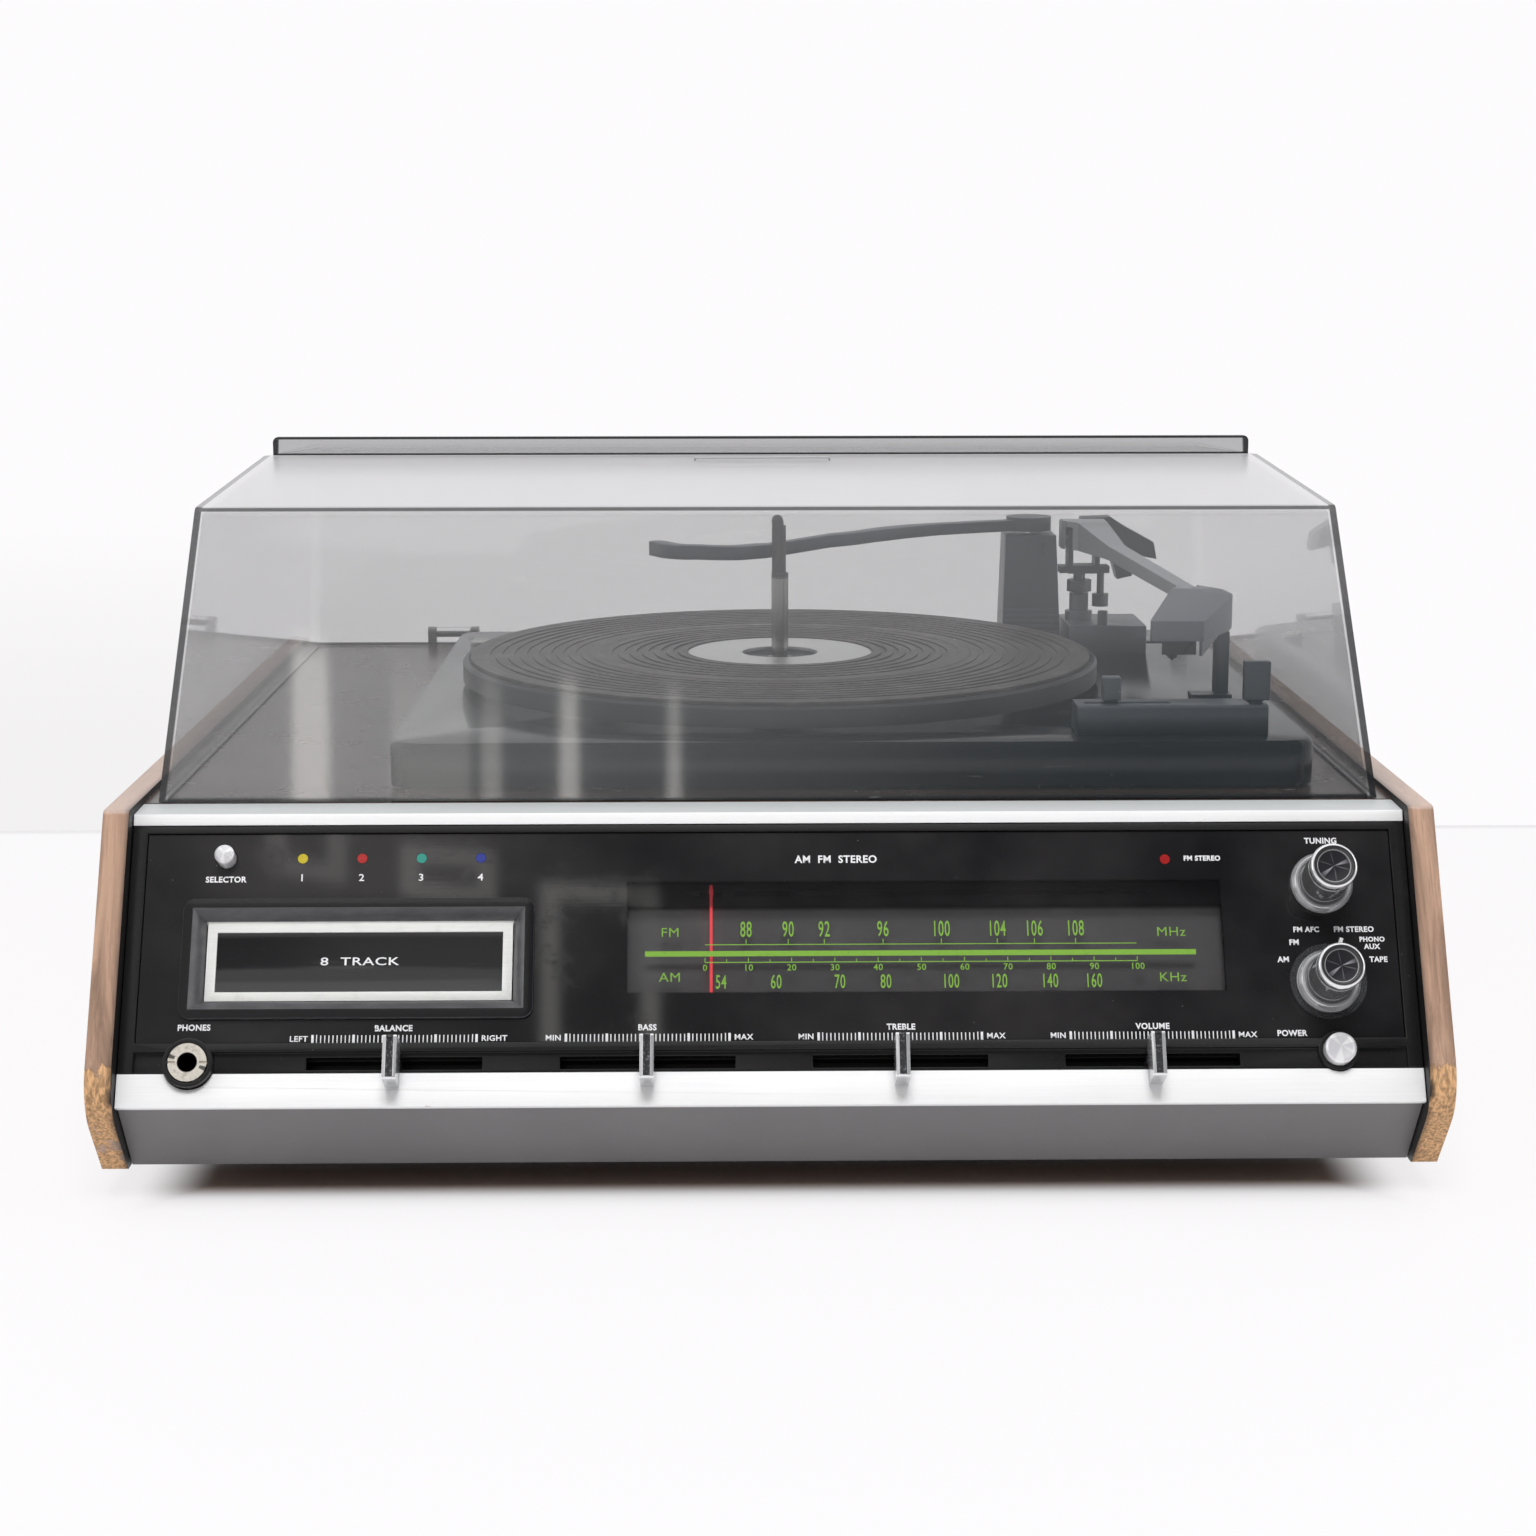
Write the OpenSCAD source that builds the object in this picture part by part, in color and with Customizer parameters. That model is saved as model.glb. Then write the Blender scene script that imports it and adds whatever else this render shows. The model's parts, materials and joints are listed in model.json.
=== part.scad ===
// Compact stereo centre of the early 1970s: an 8-track tape player and AM/FM tuner in a sloping
// front panel, with an automatic record changer under a smoked, hinged dust cover.
// Millimetres. X runs to the right, Y to the back, Z up. The origin is on the floor, below the
// middle of the object. Panel coordinates are (x, s, o): s climbs the slope from the top edge of
// the lower silver strip, and o leaves the panel towards the user.

/* [Cabinet] */
// Clear width between the wooden sides
inner_w = 446; // [440:1:500]
// Thickness of each wooden side
side_t = 9; // [7:0.5:16]
// Back edge of the wooden sides, behind the foremost line of the cabinet
side_back = 461; // [455:1:500]
// Height of the wooden sides above the deck
side_rise = 2.1; // [0.5:0.1:6]
// Radius of the nose of the wooden sides
nose_r = 20; // [8:1:24]
// Distance by which the sides stand proud of the panel
side_proud = 7; // [4:0.5:9]
// Height of the lower edge of the wooden sides above the floor
side_lift = 10; // [8:0.5:16]
// Thickness of the deck under the cover
deck_t = 8; // [6:0.5:12]
// Thickness of the base board
base_t = 6; // [4:0.5:8]
// Thickness of the hardboard back
back_t = 3; // [2:0.5:4]
// Distance of the back's outer face in front of the sides' back edge
back_inset = 9; // [8.5:0.5:14]
// Radius of each rubber foot
foot_r = 9; // [6:0.5:14]

/* [Front panel] */
// Lean of the panel from the vertical, in degrees
panel_lean = 29.7; // [26:0.1:33]
// Length of the panel up its slope
panel_len = 88; // [87:0.5:94]
// Height of the lower silver strip's top edge above the floor
trim_z = 48.3; // [47:0.1:56]
// Distance of that edge behind the foremost line of the cabinet
trim_y = 4.6; // [3:0.1:8]
// Height of the lower silver strip's face
trim_h = 11.9; // [8:0.1:14]
// Wall of the silver strips
trim_t = 1.3; // [1:0.1:2]
// Depth of the kick panel's lower edge behind the silver strip
kick_back = 22.5; // [15:0.5:30]
// Thickness of the kick panel's sheet
kick_t = 1.2; // [0.8:0.1:2]
// Depth of the black front frame
frame_t = 7; // [6:0.5:9]
// Depth of the ledge that holds the slider slots below the frame's rim
ledge_drop = 2.5; // [1:0.1:3.5]
// Height of that ledge up the slope
ledge_h = 7.3; // [6.8:0.1:8]
// Distance of the glossy dial face from each end of the panel
face_in = 5.1; // [4.5:0.1:8]
// Lower edge of the glossy dial face on the slope
face_low = 10.5; // [10:0.1:12]
// Upper edge of the glossy dial face on the slope
face_high = 85.5; // [84:0.1:86.5]
// Thickness of the glossy dial face
face_t = 2; // [1.5:0.1:2.5]
// Depth of the dial face below the frame's rim
face_drop = 1.2; // [0.6:0.1:1.6]
// Thickness of the steel dial plate behind the face
plate_t = 1.5; // [1:0.1:2]

/* [Controls] */
// Distance of the tuning and function knobs from the panel's right end
knob_in = 30.3; // [27:0.1:34]
// Height of the tuning knob on the slope
tuning_s = 65.6; // [62:0.1:68]
// Height of the function knob on the slope
function_s = 30.5; // [29.5:0.1:34]
// Radius of the knobs' chrome skirt
knob_skirt_r = 10.9; // [9:0.1:12]
// Radius of the knobs' grip
knob_grip_r = 8; // [6:0.1:8.4]
// Height of the knobs in front of the dial face
knob_h = 23; // [14:0.5:28]
// Radius of the knob shafts
shaft_r = 3; // [2:0.1:3.5]
// Radius of the winding part of the tuning shaft
winder_r = 5; // [4:0.1:6]
// Radius of the clear disc under the function knob
index_r = 13.3; // [12:0.1:14]
// Distance of the first slider slot's middle from the panel's left end
slider_in = 93.6; // [90:0.1:98]
// Distance of the last slider slot's middle from the panel's right end
slider_end = 92.1; // [88:0.1:96]
// Length of a slider slot
slot_len = 60; // [50:1:68]
// Height of a slider slot up the slope
slot_h = 4.4; // [3.4:0.1:4.8]
// Width of a slider's handle
handle_w = 4.7; // [4:0.1:8]
// Length of a slider's handle along the slope
handle_len = 15.2; // [12:0.1:18]
// Distance by which a slider's handle stands in front of the panel
handle_out = 12; // [8:0.5:16]
// Distance of the power button from the panel's right end
power_in = 28.8; // [26:0.1:32]
// Height of the power button on the slope
power_s = 6; // [6:0.1:7]
// Radius of the power button
power_r = 5.3; // [4:0.1:5.8]
// Distance by which the power button stands proud
power_out = 5.5; // [4:0.1:8]
// Position of the programme button and of the first lamp's row on the slope
lamp_s = 76.4; // [74:0.1:78]
// Distance of the programme button from the panel's left end
selector_in = 33; // [29:0.1:37]
// Radius of the programme button
selector_r = 3.4; // [2.8:0.1:4]
// Distance of the first programme lamp from the panel's left end
lamp_in = 59.4; // [57:0.1:62]
// Distance from one programme lamp to the next
lamp_pitch = 20.7; // [18:0.1:22]
// Radius of a lamp's lens
lamp_r = 1.75; // [1.2:0.05:2]
// Distance of the headphone socket from the panel's left end
jack_in = 24.2; // [22:0.1:27]
// Height of the headphone socket on the slope
jack_s = 3.2; // [3:0.1:4]
// Radius of the black boss round the headphone socket
jack_boss_r = 8.5; // [7.5:0.1:9]
// Radius of the headphone socket's bore
jack_bore_r = 3.25; // [3.25:0.05:3.4]
// Depth of the headphone socket's bore
jack_bore_len = 31; // [30:0.5:36]

/* [Dial] */
// Distance of the dial scale's 0 from the tape player's bezel
scale_gap = 59.1; // [56:0.1:62]
// Length of the dial scale from 0 to 100
scale_len = 149.6; // [120:0.1:150]
// Place of the pointer to the right of 0
pointer_at = 2.1; // [0:0.1:100]
// Lower end of the pointer on the slope
pointer_low = 28.3; // [26:0.1:34]
// Upper end of the pointer on the slope
pointer_high = 67; // [60:0.1:70]
// Radius of the drum that turns the tuning condenser
drum_r = 47.5; // [44:0.5:48]
// Distance of the drum's shaft to the left of the knobs
drum_in = 56.3; // [54:0.1:60]

/* [Tape player] */
// Distance of the cartridge slot's middle from the panel's left end
tape_in = 80; // [78:0.1:84]
// Middle of the cartridge slot on the slope
tape_s = 40.2; // [39:0.1:41]
// Width of the tape door
door_w = 105.8; // [104:0.1:108]
// Height of the tape door
door_h = 27.7; // [27:0.1:28.5]
// Thickness of the tape door
door_t = 1.6; // [1.2:0.1:2]
// Depth of the door behind the panel
door_drop = 5; // [4:0.1:6]
// Width of the bezel beyond each end of the door
bezel_side = 7.7; // [7.4:0.1:9]
// Height of the bezel above and below the door
bezel_rim = 7.35; // [6.8:0.05:8]
// Distance by which the bezel stands proud of the dial face
bezel_out = 2; // [1:0.1:3]
// Width of the cartridge that the guides take
cartridge_w = 101.6; // [101:0.1:102.5]
// Thickness of that cartridge
cartridge_h = 22.2; // [22:0.1:22.6]
// Radius of the capstan's flywheel
flywheel_r = 32; // [26:0.5:34]
// Thickness of the flywheel
flywheel_t = 12; // [8:0.5:14]
// Radius of the capstan
capstan_r = 2; // [1.5:0.1:2.5]

/* [Record changer] */
// Distance of the changer's plate from the right wooden side
changer_in = 23.2; // [18:0.1:26]
// Width of the changer's plate
changer_w = 338; // [336:1:344]
// Front edge of the changer's plate
changer_y = 85.1; // [84:0.1:90]
// Depth of the changer's plate
changer_d = 285.4; // [284:0.1:292]
// Height of the plate's top above the deck
changer_h = 17.6; // [15:0.1:20]
// Height of the plate's skirt
skirt_h = 16.3; // [12:0.1:16.5]
// Thickness of the plate's sheet
changer_t = 1.2; // [1:0.1:1.6]
// Distance of the platter's middle to the left of the plate's middle
platter_in = 24.1; // [23:0.1:26]
// Distance of the platter's middle behind the plate's front edge
platter_back = 145.2; // [143:0.1:147]
// Radius of the platter
platter_r = 130.3; // [124:0.1:131]
// Top of the platter above the changer's plate
platter_h = 10.1; // [9:0.1:12]
// Thickness of the rubber mat
mat_t = 2; // [1.5:0.1:3]
// Radius of the metal disc in the middle of the mat
disc_r = 38; // [34:0.5:44]
// Radius of the spindle
spindle_r = 3.5; // [3.4:0.05:3.55]
// Top of the spindle above the changer's plate
spindle_h = 68.2; // [60:0.1:70]
// Radius of the idler wheel
idler_r = 25; // [20:0.5:28]
// Radius of the changer motor's pulley
pulley_r = 3; // [2.5:0.1:4]
// Height of the overarm's post above the changer's plate
post_h = 49.5; // [46:0.1:54]
// Height of the overarm's bar at its thin end, next to the post
overarm_h = 4.6; // [4:0.1:7]
// Distance from the tone arm's pivot to the back of its head shell
arm_len = 149.5; // [145:0.5:152]
// Height of the tone arm's pivot above the changer's plate
arm_h = 49; // [46:0.1:50]
// Turn of the tone arm to the right, in degrees
arm_yaw = 8; // [6:0.1:9]
// Length of the control module on the changer's plate
module_w = 70.5; // [64:0.5:74]
// Depth of that module
module_d = 18.5; // [16:0.5:22]
// Height of that module
module_h = 10.7; // [8:0.1:13]

/* [Dust cover] */
// Air between the cover's lower edge and each wooden side
cover_in = 5.2; // [4:0.1:9]
// Draft of the cover's sides, in degrees
cover_draft = 2.95; // [1:0.05:4]
// Wall of the cover
cover_t = 2.6; // [2:0.1:3]
// Height of the front pane's top above the deck
cover_front_h = 98.9; // [92:0.1:106]
// Depth of the front pane's top behind the foremost line
cover_front_y = 130.4; // [126:0.1:136]
// Height of the ridge above the front pane's top
cover_ridge = 6.8; // [2:0.1:10]
// Depth of the ridge behind the foremost line
cover_ridge_y = 286; // [270:0.5:300]
// Height of the upstanding lip on the ridge
lip_h = 8; // [4:0.1:12]
// Outer face of the back pane behind the foremost line
cover_back_y = 446.8; // [446:0.1:447.6]
// Fall of the top from the ridge to the back pane
cover_fall = 9; // [4:0.5:20]
// Width of the bare recess pressed into the top, in front of the ridge
recess_w = 57.4; // [40:0.1:70]
// Depth of that recess from front to back
recess_d = 15; // [8:0.5:18]

/* [Hidden] */
$fn = 48;

// Clearances
fit = 0.05;          // radial play of a shaft in its bearing
gap = 0.3;           // air between pieces that move past each other
nip = 0.15;          // air between pieces that touch in use

// Places that follow from the driving sizes
ls = sin(panel_lean);
lc = cos(panel_lean);
function panel_y(s, o) = trim_y + s * ls - o * lc;
function panel_z(s, o) = trim_z + s * lc + o * ls;
inner_half = inner_w / 2;
panel_half = inner_half - 0.4;
face_w = 2 * (panel_half - face_in);
knob_x = panel_half - knob_in;
power_x = panel_half - power_in;
selector_x = selector_in - panel_half;
lamp_x = lamp_in - panel_half;
jack_x = jack_in - panel_half;
slider_x = slider_in - panel_half;
slider_pitch = (2 * panel_half - slider_in - slider_end) / 3;
tape_x = tape_in - panel_half;
bezel_w = door_w + 2 * bezel_side;
bezel_h = door_h + 2 * bezel_rim;
scale_x0 = tape_x + bezel_w / 2 + scale_gap;
drum_x = knob_x - drum_in;
drum_s = (face_low + face_high) / 2 - 4;
changer_x = inner_half - changer_in - changer_w / 2;
platter_x = changer_x - platter_in;
platter_y = changer_y + platter_back;
cover_half = inner_half - cover_in;
deck_z = panel_z(panel_len, 0) + 4.5;
side_top = deck_z + side_rise;
base_z = side_lift + kick_t;
base_top = base_z + base_t;
back_y = side_back - back_inset;
deck_back = side_back - 5;
plate_z = deck_z + changer_h;
mat_top = plate_z + platter_h + mat_t;
handle_low = -4.6;
front_reach = panel_y(handle_low, handle_out);
mid_y = (side_back + front_reach) / 2;
module place() translate([0, -mid_y, 0]) children();
module on_panel(x, s, o = 0)
    translate([0, trim_y, trim_z]) rotate([90 - panel_lean, 0, 0]) translate([x, s, o]) children();
// Extrudes an outline of (y, z) points along X, or one of (s, o) points inside on_panel()
module along_x(w) rotate([90, 0, 90]) linear_extrude(w, center = true) children();
// A box from its low corner to its high corner
module span(low, high) translate(low) cube(high - low);
// A rectangle with true arcs at its corners
module round_rect(w, d, r) {
    square([w - 2 * r, d], center = true);
    square([w, d - 2 * r], center = true);
    for (i = [-1, 1], j = [-1, 1])
        translate([i * (w / 2 - r), j * (d / 2 - r)]) circle(r);
}
function unit(v) = v / norm(v);
function turned(a) = a > 180 ? a - 360 : a < -180 ? a + 360 : a;
// The arc of radius r that rounds the corner b between a and c
function round_corner(a, b, c, r, steps) =
    let (u = unit(a - b),
         w = unit(c - b),
         half = acos(u * w) / 2,
         m = b + unit(u + w) * r / sin(half),
         p = b + u * r / tan(half) - m,
         q = b + w * r / tan(half) - m,
         from = atan2(p[1], p[0]),
         turn = turned(atan2(q[1], q[0]) - from))
    [for (i = [0:steps]) m + r * [cos(from + turn * i / steps), sin(from + turn * i / steps)]];
// An outline whose corners are rounded by the radii of the second list
function rounded(points, radii, steps = 8) =
    let (n = len(points))
    [for (i = [0:n - 1]) each radii[i] == 0 ? [points[i]]
        : round_corner(points[(i + n - 1) % n], points[i], points[(i + 1) % n], radii[i], steps)];
// The middle of the wire of a coil that stands on Z = 0, with 8 rings to a turn
function coil_line(r, wire, height, turns) = [for (i = [0:turns * 8])
    [r * cos(i * 45), r * sin(i * 45), wire + (height - 2 * wire) * i / (turns * 8)]];
// The least air between its turns, measured on points at least half a turn apart
function coil_gap(line, wire) = min([for (i = [0:len(line) - 1], j = [i + 4:1:len(line) - 1])
    norm(line[j] - line[i])]) - 2 * wire;
module coil(line, wire, sides = 6) {
    rings = len(line) - 1;
    pts = [for (i = [0:rings], j = [0:sides - 1])
        let (b = 360 * j / sides, out = unit([line[i][0], line[i][1], 0]))
        line[i] + wire * (cos(b) * out + [0, 0, sin(b)])];
    skin = [for (i = [0:rings - 1], j = [0:sides - 1])
        let (k = (j + 1) % sides, a = i * sides, b = a + sides)
        each [[a + j, b + k, a + k], [a + j, b + j, b + k]]];
    start = [[for (j = [0:sides - 1]) j]];
    stop = [[for (j = [sides - 1:-1:0]) rings * sides + j]];
    polyhedron(points = pts, faces = concat(start, skin, stop));
}

// ---------------------------------------------------------------- cabinet
kick_y = panel_y(-trim_h, 0) + kick_back;
kick_top = [panel_y(-trim_h, 0), panel_z(-trim_h, 0)];
kick_dir = unit([kick_y, side_lift] - kick_top);
kick_in = [-kick_dir[1], kick_dir[0]];
side_low = [kick_y, side_lift] - kick_in * 3.4;
side_foot = side_low - kick_dir * (side_low[1] - side_lift) / kick_dir[1];
side_high_s = (side_top - trim_z - side_proud * ls) / lc;
side_high = [panel_y(side_high_s, side_proud), side_top];
// The sharp nose, where the front edge meets the lower edge
nose_k = ((side_foot[0] - side_high[0]) * kick_dir[1] - (side_foot[1] - side_high[1]) * kick_dir[0])
    / (-ls * kick_dir[1] + lc * kick_dir[0]);
side_nose = side_high + nose_k * [-ls, -lc];

module side_board(way) color("saddlebrown")
    translate([way * (inner_half + side_t / 2), 0, 0]) along_x(side_t)
        polygon(rounded(
            [side_high, side_nose, side_foot, [side_back, side_lift], [side_back, side_top]],
            [3, nose_r, 2, 1, 1]));
module left_side() side_board(-1);
module right_side() side_board(1);

back_screw_z = [base_z + base_t / 2, deck_z - deck_t - 6];
back_screw_x = [for (i = [-2:2]) i * (inner_half - 33) / 2];
screw_bore_r = 1.6;
slot_span = inner_half - 73;
module base_board() color("peru") difference() {
    span([-inner_half, kick_y + 4, base_z], [inner_half, back_y - back_t, base_top]);
    for (x = [-slot_span:25:slot_span], y = [side_back / 3, side_back * 0.65])
        translate([x, y, base_z - 1]) linear_extrude(base_t + 2) round_rect(8, 44, 3.8);
    for (x = back_screw_x) translate([x, back_y, back_screw_z[0]]) rotate([90, 0, 0])
        cylinder(r = screw_bore_r, h = 14);
    for (x = [-foot_x, foot_x], y = foot_y)
        translate([x, y, base_z - 1]) cylinder(r = screw_bore_r, h = 5);
}

gland_x = 58 - inner_half;
gland_z = 46;
socket_x = inner_half - 103;
socket_z = 72;
module back_panel() color("sienna") difference() {
    span([-inner_half + gap, back_y - back_t, base_z], [inner_half - gap, back_y, deck_z - deck_t]);
    // Louvre slots that let the heat out
    for (x = [gland_x + 5:16:socket_x - 72], row = [0, 1])
        translate([x, back_y + 1, 66 + row * 26]) rotate([90, 0, 0])
            linear_extrude(back_t + 2) round_rect(5, 20, 2.4);
    translate([gland_x, back_y + 1, gland_z]) rotate([90, 0, 0]) cylinder(r = 6.2, h = back_t + 2);
    span([socket_x - 22, back_y - back_t - 1, socket_z - 12],
         [socket_x + 22, back_y + 1, socket_z + 12]);
    for (x = back_screw_x, z = back_screw_z)
        translate([x, back_y + 1, z]) rotate([90, 0, 0]) cylinder(r = 1.8, h = back_t + 2);
}

deck_front = panel_y(panel_len, 0) + 18.4;
// The idler runs between the platter's inner rim and the pulley on the motor's shaft
rim_in = platter_r - 2.2;
idler_gap = 0.14525;
idler_way = [-1, 1] / norm([-1, 1]);
idler_at = [platter_x, platter_y] + idler_way * (rim_in - idler_r - idler_gap);
motor_hole = idler_at - [19.7, 20.3];
motor_half = 24;
well_x = [motor_hole[0] - motor_half - 6.4, changer_x + changer_w / 2 - 20];
well_y = [changer_y + 21, changer_y + changer_d - 21];
batten_half = inner_half - 23;
module top_deck() color("#4a3526") difference() {
    union() {
        span([-inner_half, deck_front, deck_z - deck_t], [inner_half, deck_back, deck_z]);
        // Batten that the back is screwed to
        span([-batten_half, back_y - back_t - 12, deck_z - deck_t - 12],
             [batten_half, back_y - back_t, deck_z - deck_t]);
    }
    translate([(well_x[0] + well_x[1]) / 2, (well_y[0] + well_y[1]) / 2, deck_z - deck_t - 1])
        linear_extrude(deck_t + 2)
            round_rect(well_x[1] - well_x[0], well_y[1] - well_y[0], 12);
    for (x = back_screw_x) translate([x, back_y, back_screw_z[1]]) rotate([90, 0, 0])
        cylinder(r = screw_bore_r, h = 14);
}

strip_half = panel_half + 0.1;
module trim_strips() color("silver") {
    // The lower strip is a channel that hooks over the kick panel
    difference() {
        on_panel(0, 0) along_x(2 * strip_half) polygon([
            [-0.1, 0], [-trim_h, 0], [-trim_h, -2.8], [trim_t - trim_h, -2.8],
            [trim_t - trim_h, -trim_t], [-0.1 - trim_t, -trim_t],
            [-0.1 - trim_t, -frame_t], [-0.1, -frame_t]]);
        on_panel(jack_x, jack_s, -frame_t - 1) cylinder(r = jack_boss_r + gap, h = frame_t + 5);
        on_panel(power_x, power_s, -frame_t - 1) cylinder(r = power_boss_r + gap, h = frame_t + 5);
    }
    // The upper strip closes the corner between the panel and the deck
    top_y = panel_y(panel_len, 0);
    top_z = panel_z(panel_len, 0);
    along_x(2 * strip_half) polygon([
        [top_y, top_z + 0.2], [top_y + 1.6, top_z + 4], [deck_front - 0.1, top_z + 4.3],
        [deck_front - 0.1, top_z - 3], [deck_front - 0.1 - trim_t, top_z - 3],
        [deck_front - 0.1 - trim_t, top_z + 3], [top_y + 2.6, top_z + 2.7],
        [top_y + trim_t, top_z + 0.2]]);
}

module kick_panel() color("dimgray") {
    // It starts inside the lower strip, slopes down and turns back under the base board
    start = kick_top + kick_in * 2.8 + kick_dir * 0.8;
    bend = [kick_y, side_lift] + kick_in * 0.6;
    inner = start + kick_in * kick_t;
    foot = bend - kick_dir * (bend[1] - side_lift) / kick_dir[1];
    inner_foot = inner + kick_dir * (side_lift + kick_t - inner[1]) / kick_dir[1];
    along_x(2 * panel_half) polygon([
        start, foot, [foot[0] + 40, side_lift], [foot[0] + 40, side_lift + kick_t],
        inner_foot, inner]);
}

foot_x = inner_half - 32;
foot_y = [kick_y + 62, back_y - 36];
module rubber_feet() color("#1c1c1c")
    for (x = [-foot_x, foot_x], y = foot_y) translate([x, y, 0]) difference() {
        rotate_extrude() polygon([[0, 0], [foot_r - 1, 0], [foot_r, 1.5],
            [foot_r + 1.5, base_z], [0, base_z]]);
        // Sunk hole for the screw that holds the foot
        translate([0, 0, -1]) cylinder(r = 3.6, h = 5);
        cylinder(r = 1.8, h = base_z + 1);
    }

module screws() color("lightgray") {
    for (x = back_screw_x, z = back_screw_z) translate([x, back_y, z]) rotate([-90, 0, 0])
        screw(3.4, 1.6, 12);
    for (x = [-foot_x, foot_x], y = foot_y) translate([x, y, 4]) rotate([180, 0, 0])
        screw(3.3, 1.6, base_z - 1);
    // Transit screws of the changer's plate
    for (x = [changer_x - changer_w / 2 + 12, changer_x + changer_w / 2 - 12])
        translate([x, changer_y + changer_d - 40, plate_z]) screw(4.2, 1.9, 10);
}
// A pan-head screw whose head stands on Z = 0
module screw(head_r, shank_r, length) difference() {
    union() {
        rotate_extrude() polygon([[0, 0], [head_r, 0], [head_r, 1.2], [head_r - 1, 2], [0, 2]]);
        translate([0, 0, -length]) cylinder(r = shank_r, h = length + 0.1);
    }
    translate([0, 0, 1.6]) cube([head_r * 1.3, 0.8, 1.6], center = true);
}

// ---------------------------------------------------------------- front panel
slider_centres = [for (i = [0:3]) slider_x + i * slider_pitch];
slot_s = 3.7;
power_boss_r = power_r + 1.5;
face_back = -face_drop - face_t;
plate_front = -frame_t;
plate_back = plate_front - plate_t;
bezel_hole = [bezel_w / 2 - 2.9, bezel_h / 2 - 2.9];

module front_frame() color("#202022") difference() {
    union() {
        on_panel(0, 0) difference() {
            span([-panel_half, 0.2, -frame_t], [panel_half, panel_len, 0]);
            span([-face_w / 2, face_low, face_back], [face_w / 2, face_high, 1]);
            span([5 - face_w / 2, face_low + 5, -frame_t - 1], [face_w / 2 - 5, face_high - 5, 1]);
            span([-face_w / 2, -1, -ledge_drop], [face_w / 2, 0.2 + ledge_h, 1]);
        }
        on_panel(jack_x, jack_s, -frame_t) cylinder(r = jack_boss_r, h = frame_t + 3);
        on_panel(power_x, power_s, -frame_t) cylinder(r = power_boss_r, h = frame_t + 0.8);
    }
    for (x = slider_centres) on_panel(x, slot_s, -frame_t - 1)
        linear_extrude(frame_t + 2) square([slot_len, slot_h], center = true);
    on_panel(jack_x, jack_s, -frame_t - 1) cylinder(r = 4.6, h = frame_t + 6);
    on_panel(jack_x, jack_s, 1.4) cylinder(r = jack_boss_r - 1.6, h = 3);
    on_panel(power_x, power_s, -frame_t - 1) cylinder(r = power_r + gap, h = frame_t + 4);
}

module dial_face() color("#0b0b0d") on_panel(0, 0, face_back) difference() {
    span([gap - face_w / 2, face_low + gap, 0], [face_w / 2 - gap, face_high - gap, face_t]);
    translate([tape_x, tape_s, -1]) linear_extrude(face_t + 2)
        square(2 * bezel_hole + [0.5, 0.5], center = true);
    translate([jack_x, jack_s, -1]) cylinder(r = jack_boss_r + gap, h = face_t + 2);
    translate([power_x, power_s, -1]) cylinder(r = power_boss_r + gap, h = face_t + 2);
    translate([selector_x, lamp_s, -1]) cylinder(r = selector_r + gap, h = face_t + 2);
    for (i = [0:3]) translate([lamp_x + i * lamp_pitch, lamp_s, -1])
        cylinder(r = lamp_r + 0.1, h = face_t + 2);
    translate([stereo_x, stereo_s, -1]) cylinder(r = lamp_r + 0.1, h = face_t + 2);
    for (s = [tuning_s, function_s]) translate([knob_x, s, -1])
        cylinder(r = winder_r + 1, h = face_t + 2);
}

module dial_plate() color("#3a3d3c") on_panel(0, 0, plate_back) difference() {
    span([-panel_half + 3, face_low + 2.5, 0], [panel_half - 3, face_high - 1, plate_t]);
    translate([tape_x, tape_s, -1]) linear_extrude(plate_t + 2)
        square(2 * bezel_hole + [1, 1], center = true);
    translate([selector_x, lamp_s, -1]) cylinder(r = 2.6, h = plate_t + 2);
    for (x = lamp_xs) translate([x, lamp_s, -1]) cylinder(r = lamp_r + 1, h = plate_t + 2);
    translate([stereo_x, stereo_s, -1]) cylinder(r = lamp_r + 1, h = plate_t + 2);
    translate([knob_x, tuning_s, -1]) cylinder(r = shaft_r + fit, h = plate_t + 2);
    translate([knob_x, function_s, -1]) cylinder(r = shaft_r + 1, h = plate_t + 2);
    translate([power_x, power_s, -1]) cylinder(r = power_r + 2, h = plate_t + 2);
    // Slot in which the pointer's carriage runs
    rail = [scale_x0 - 6, pointer_high - 3.2];
    span([rail[0], rail[1], -1], [scale_x0 + scale_len + 6, rail[1] + 2.2, plate_t + 1]);
}

stereo_x = knob_x - 54.1;
stereo_s = 75;
lamp_xs = [for (i = [0:3]) lamp_x + i * lamp_pitch];
lamp_colours = ["gold", "red", "seagreen", "royalblue"];
module panel_lamps() {
    for (i = [0:3]) color(lamp_colours[i]) on_panel(lamp_xs[i], lamp_s, -face_drop) lamp();
    color("red") on_panel(stereo_x, stereo_s, -face_drop) lamp();
}
module lamp() rotate_extrude() polygon([[0, 0], [lamp_r, 0], [lamp_r, -face_t - 0.3],
    [lamp_r + 0.8, -face_t - 0.3], [lamp_r + 0.8, -12], [0, -12]]);

module dial_pointer() color("red") on_panel(scale_x0 + pointer_at, 0, face_back - 2) {
    span([-0.5, pointer_low, 0.6], [0.5, pointer_high, 1.3]);
    // Carriage in the plate's slot, with its foot behind the plate
    back = plate_back - face_back + 2;
    span([-2.5, pointer_high - 2.9, back - 0.8], [2.5, pointer_high - 1.4, 1.3]);
    span([-4, pointer_high - 5, back - 1.8], [4, pointer_high + 1, back - gap]);
}

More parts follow.
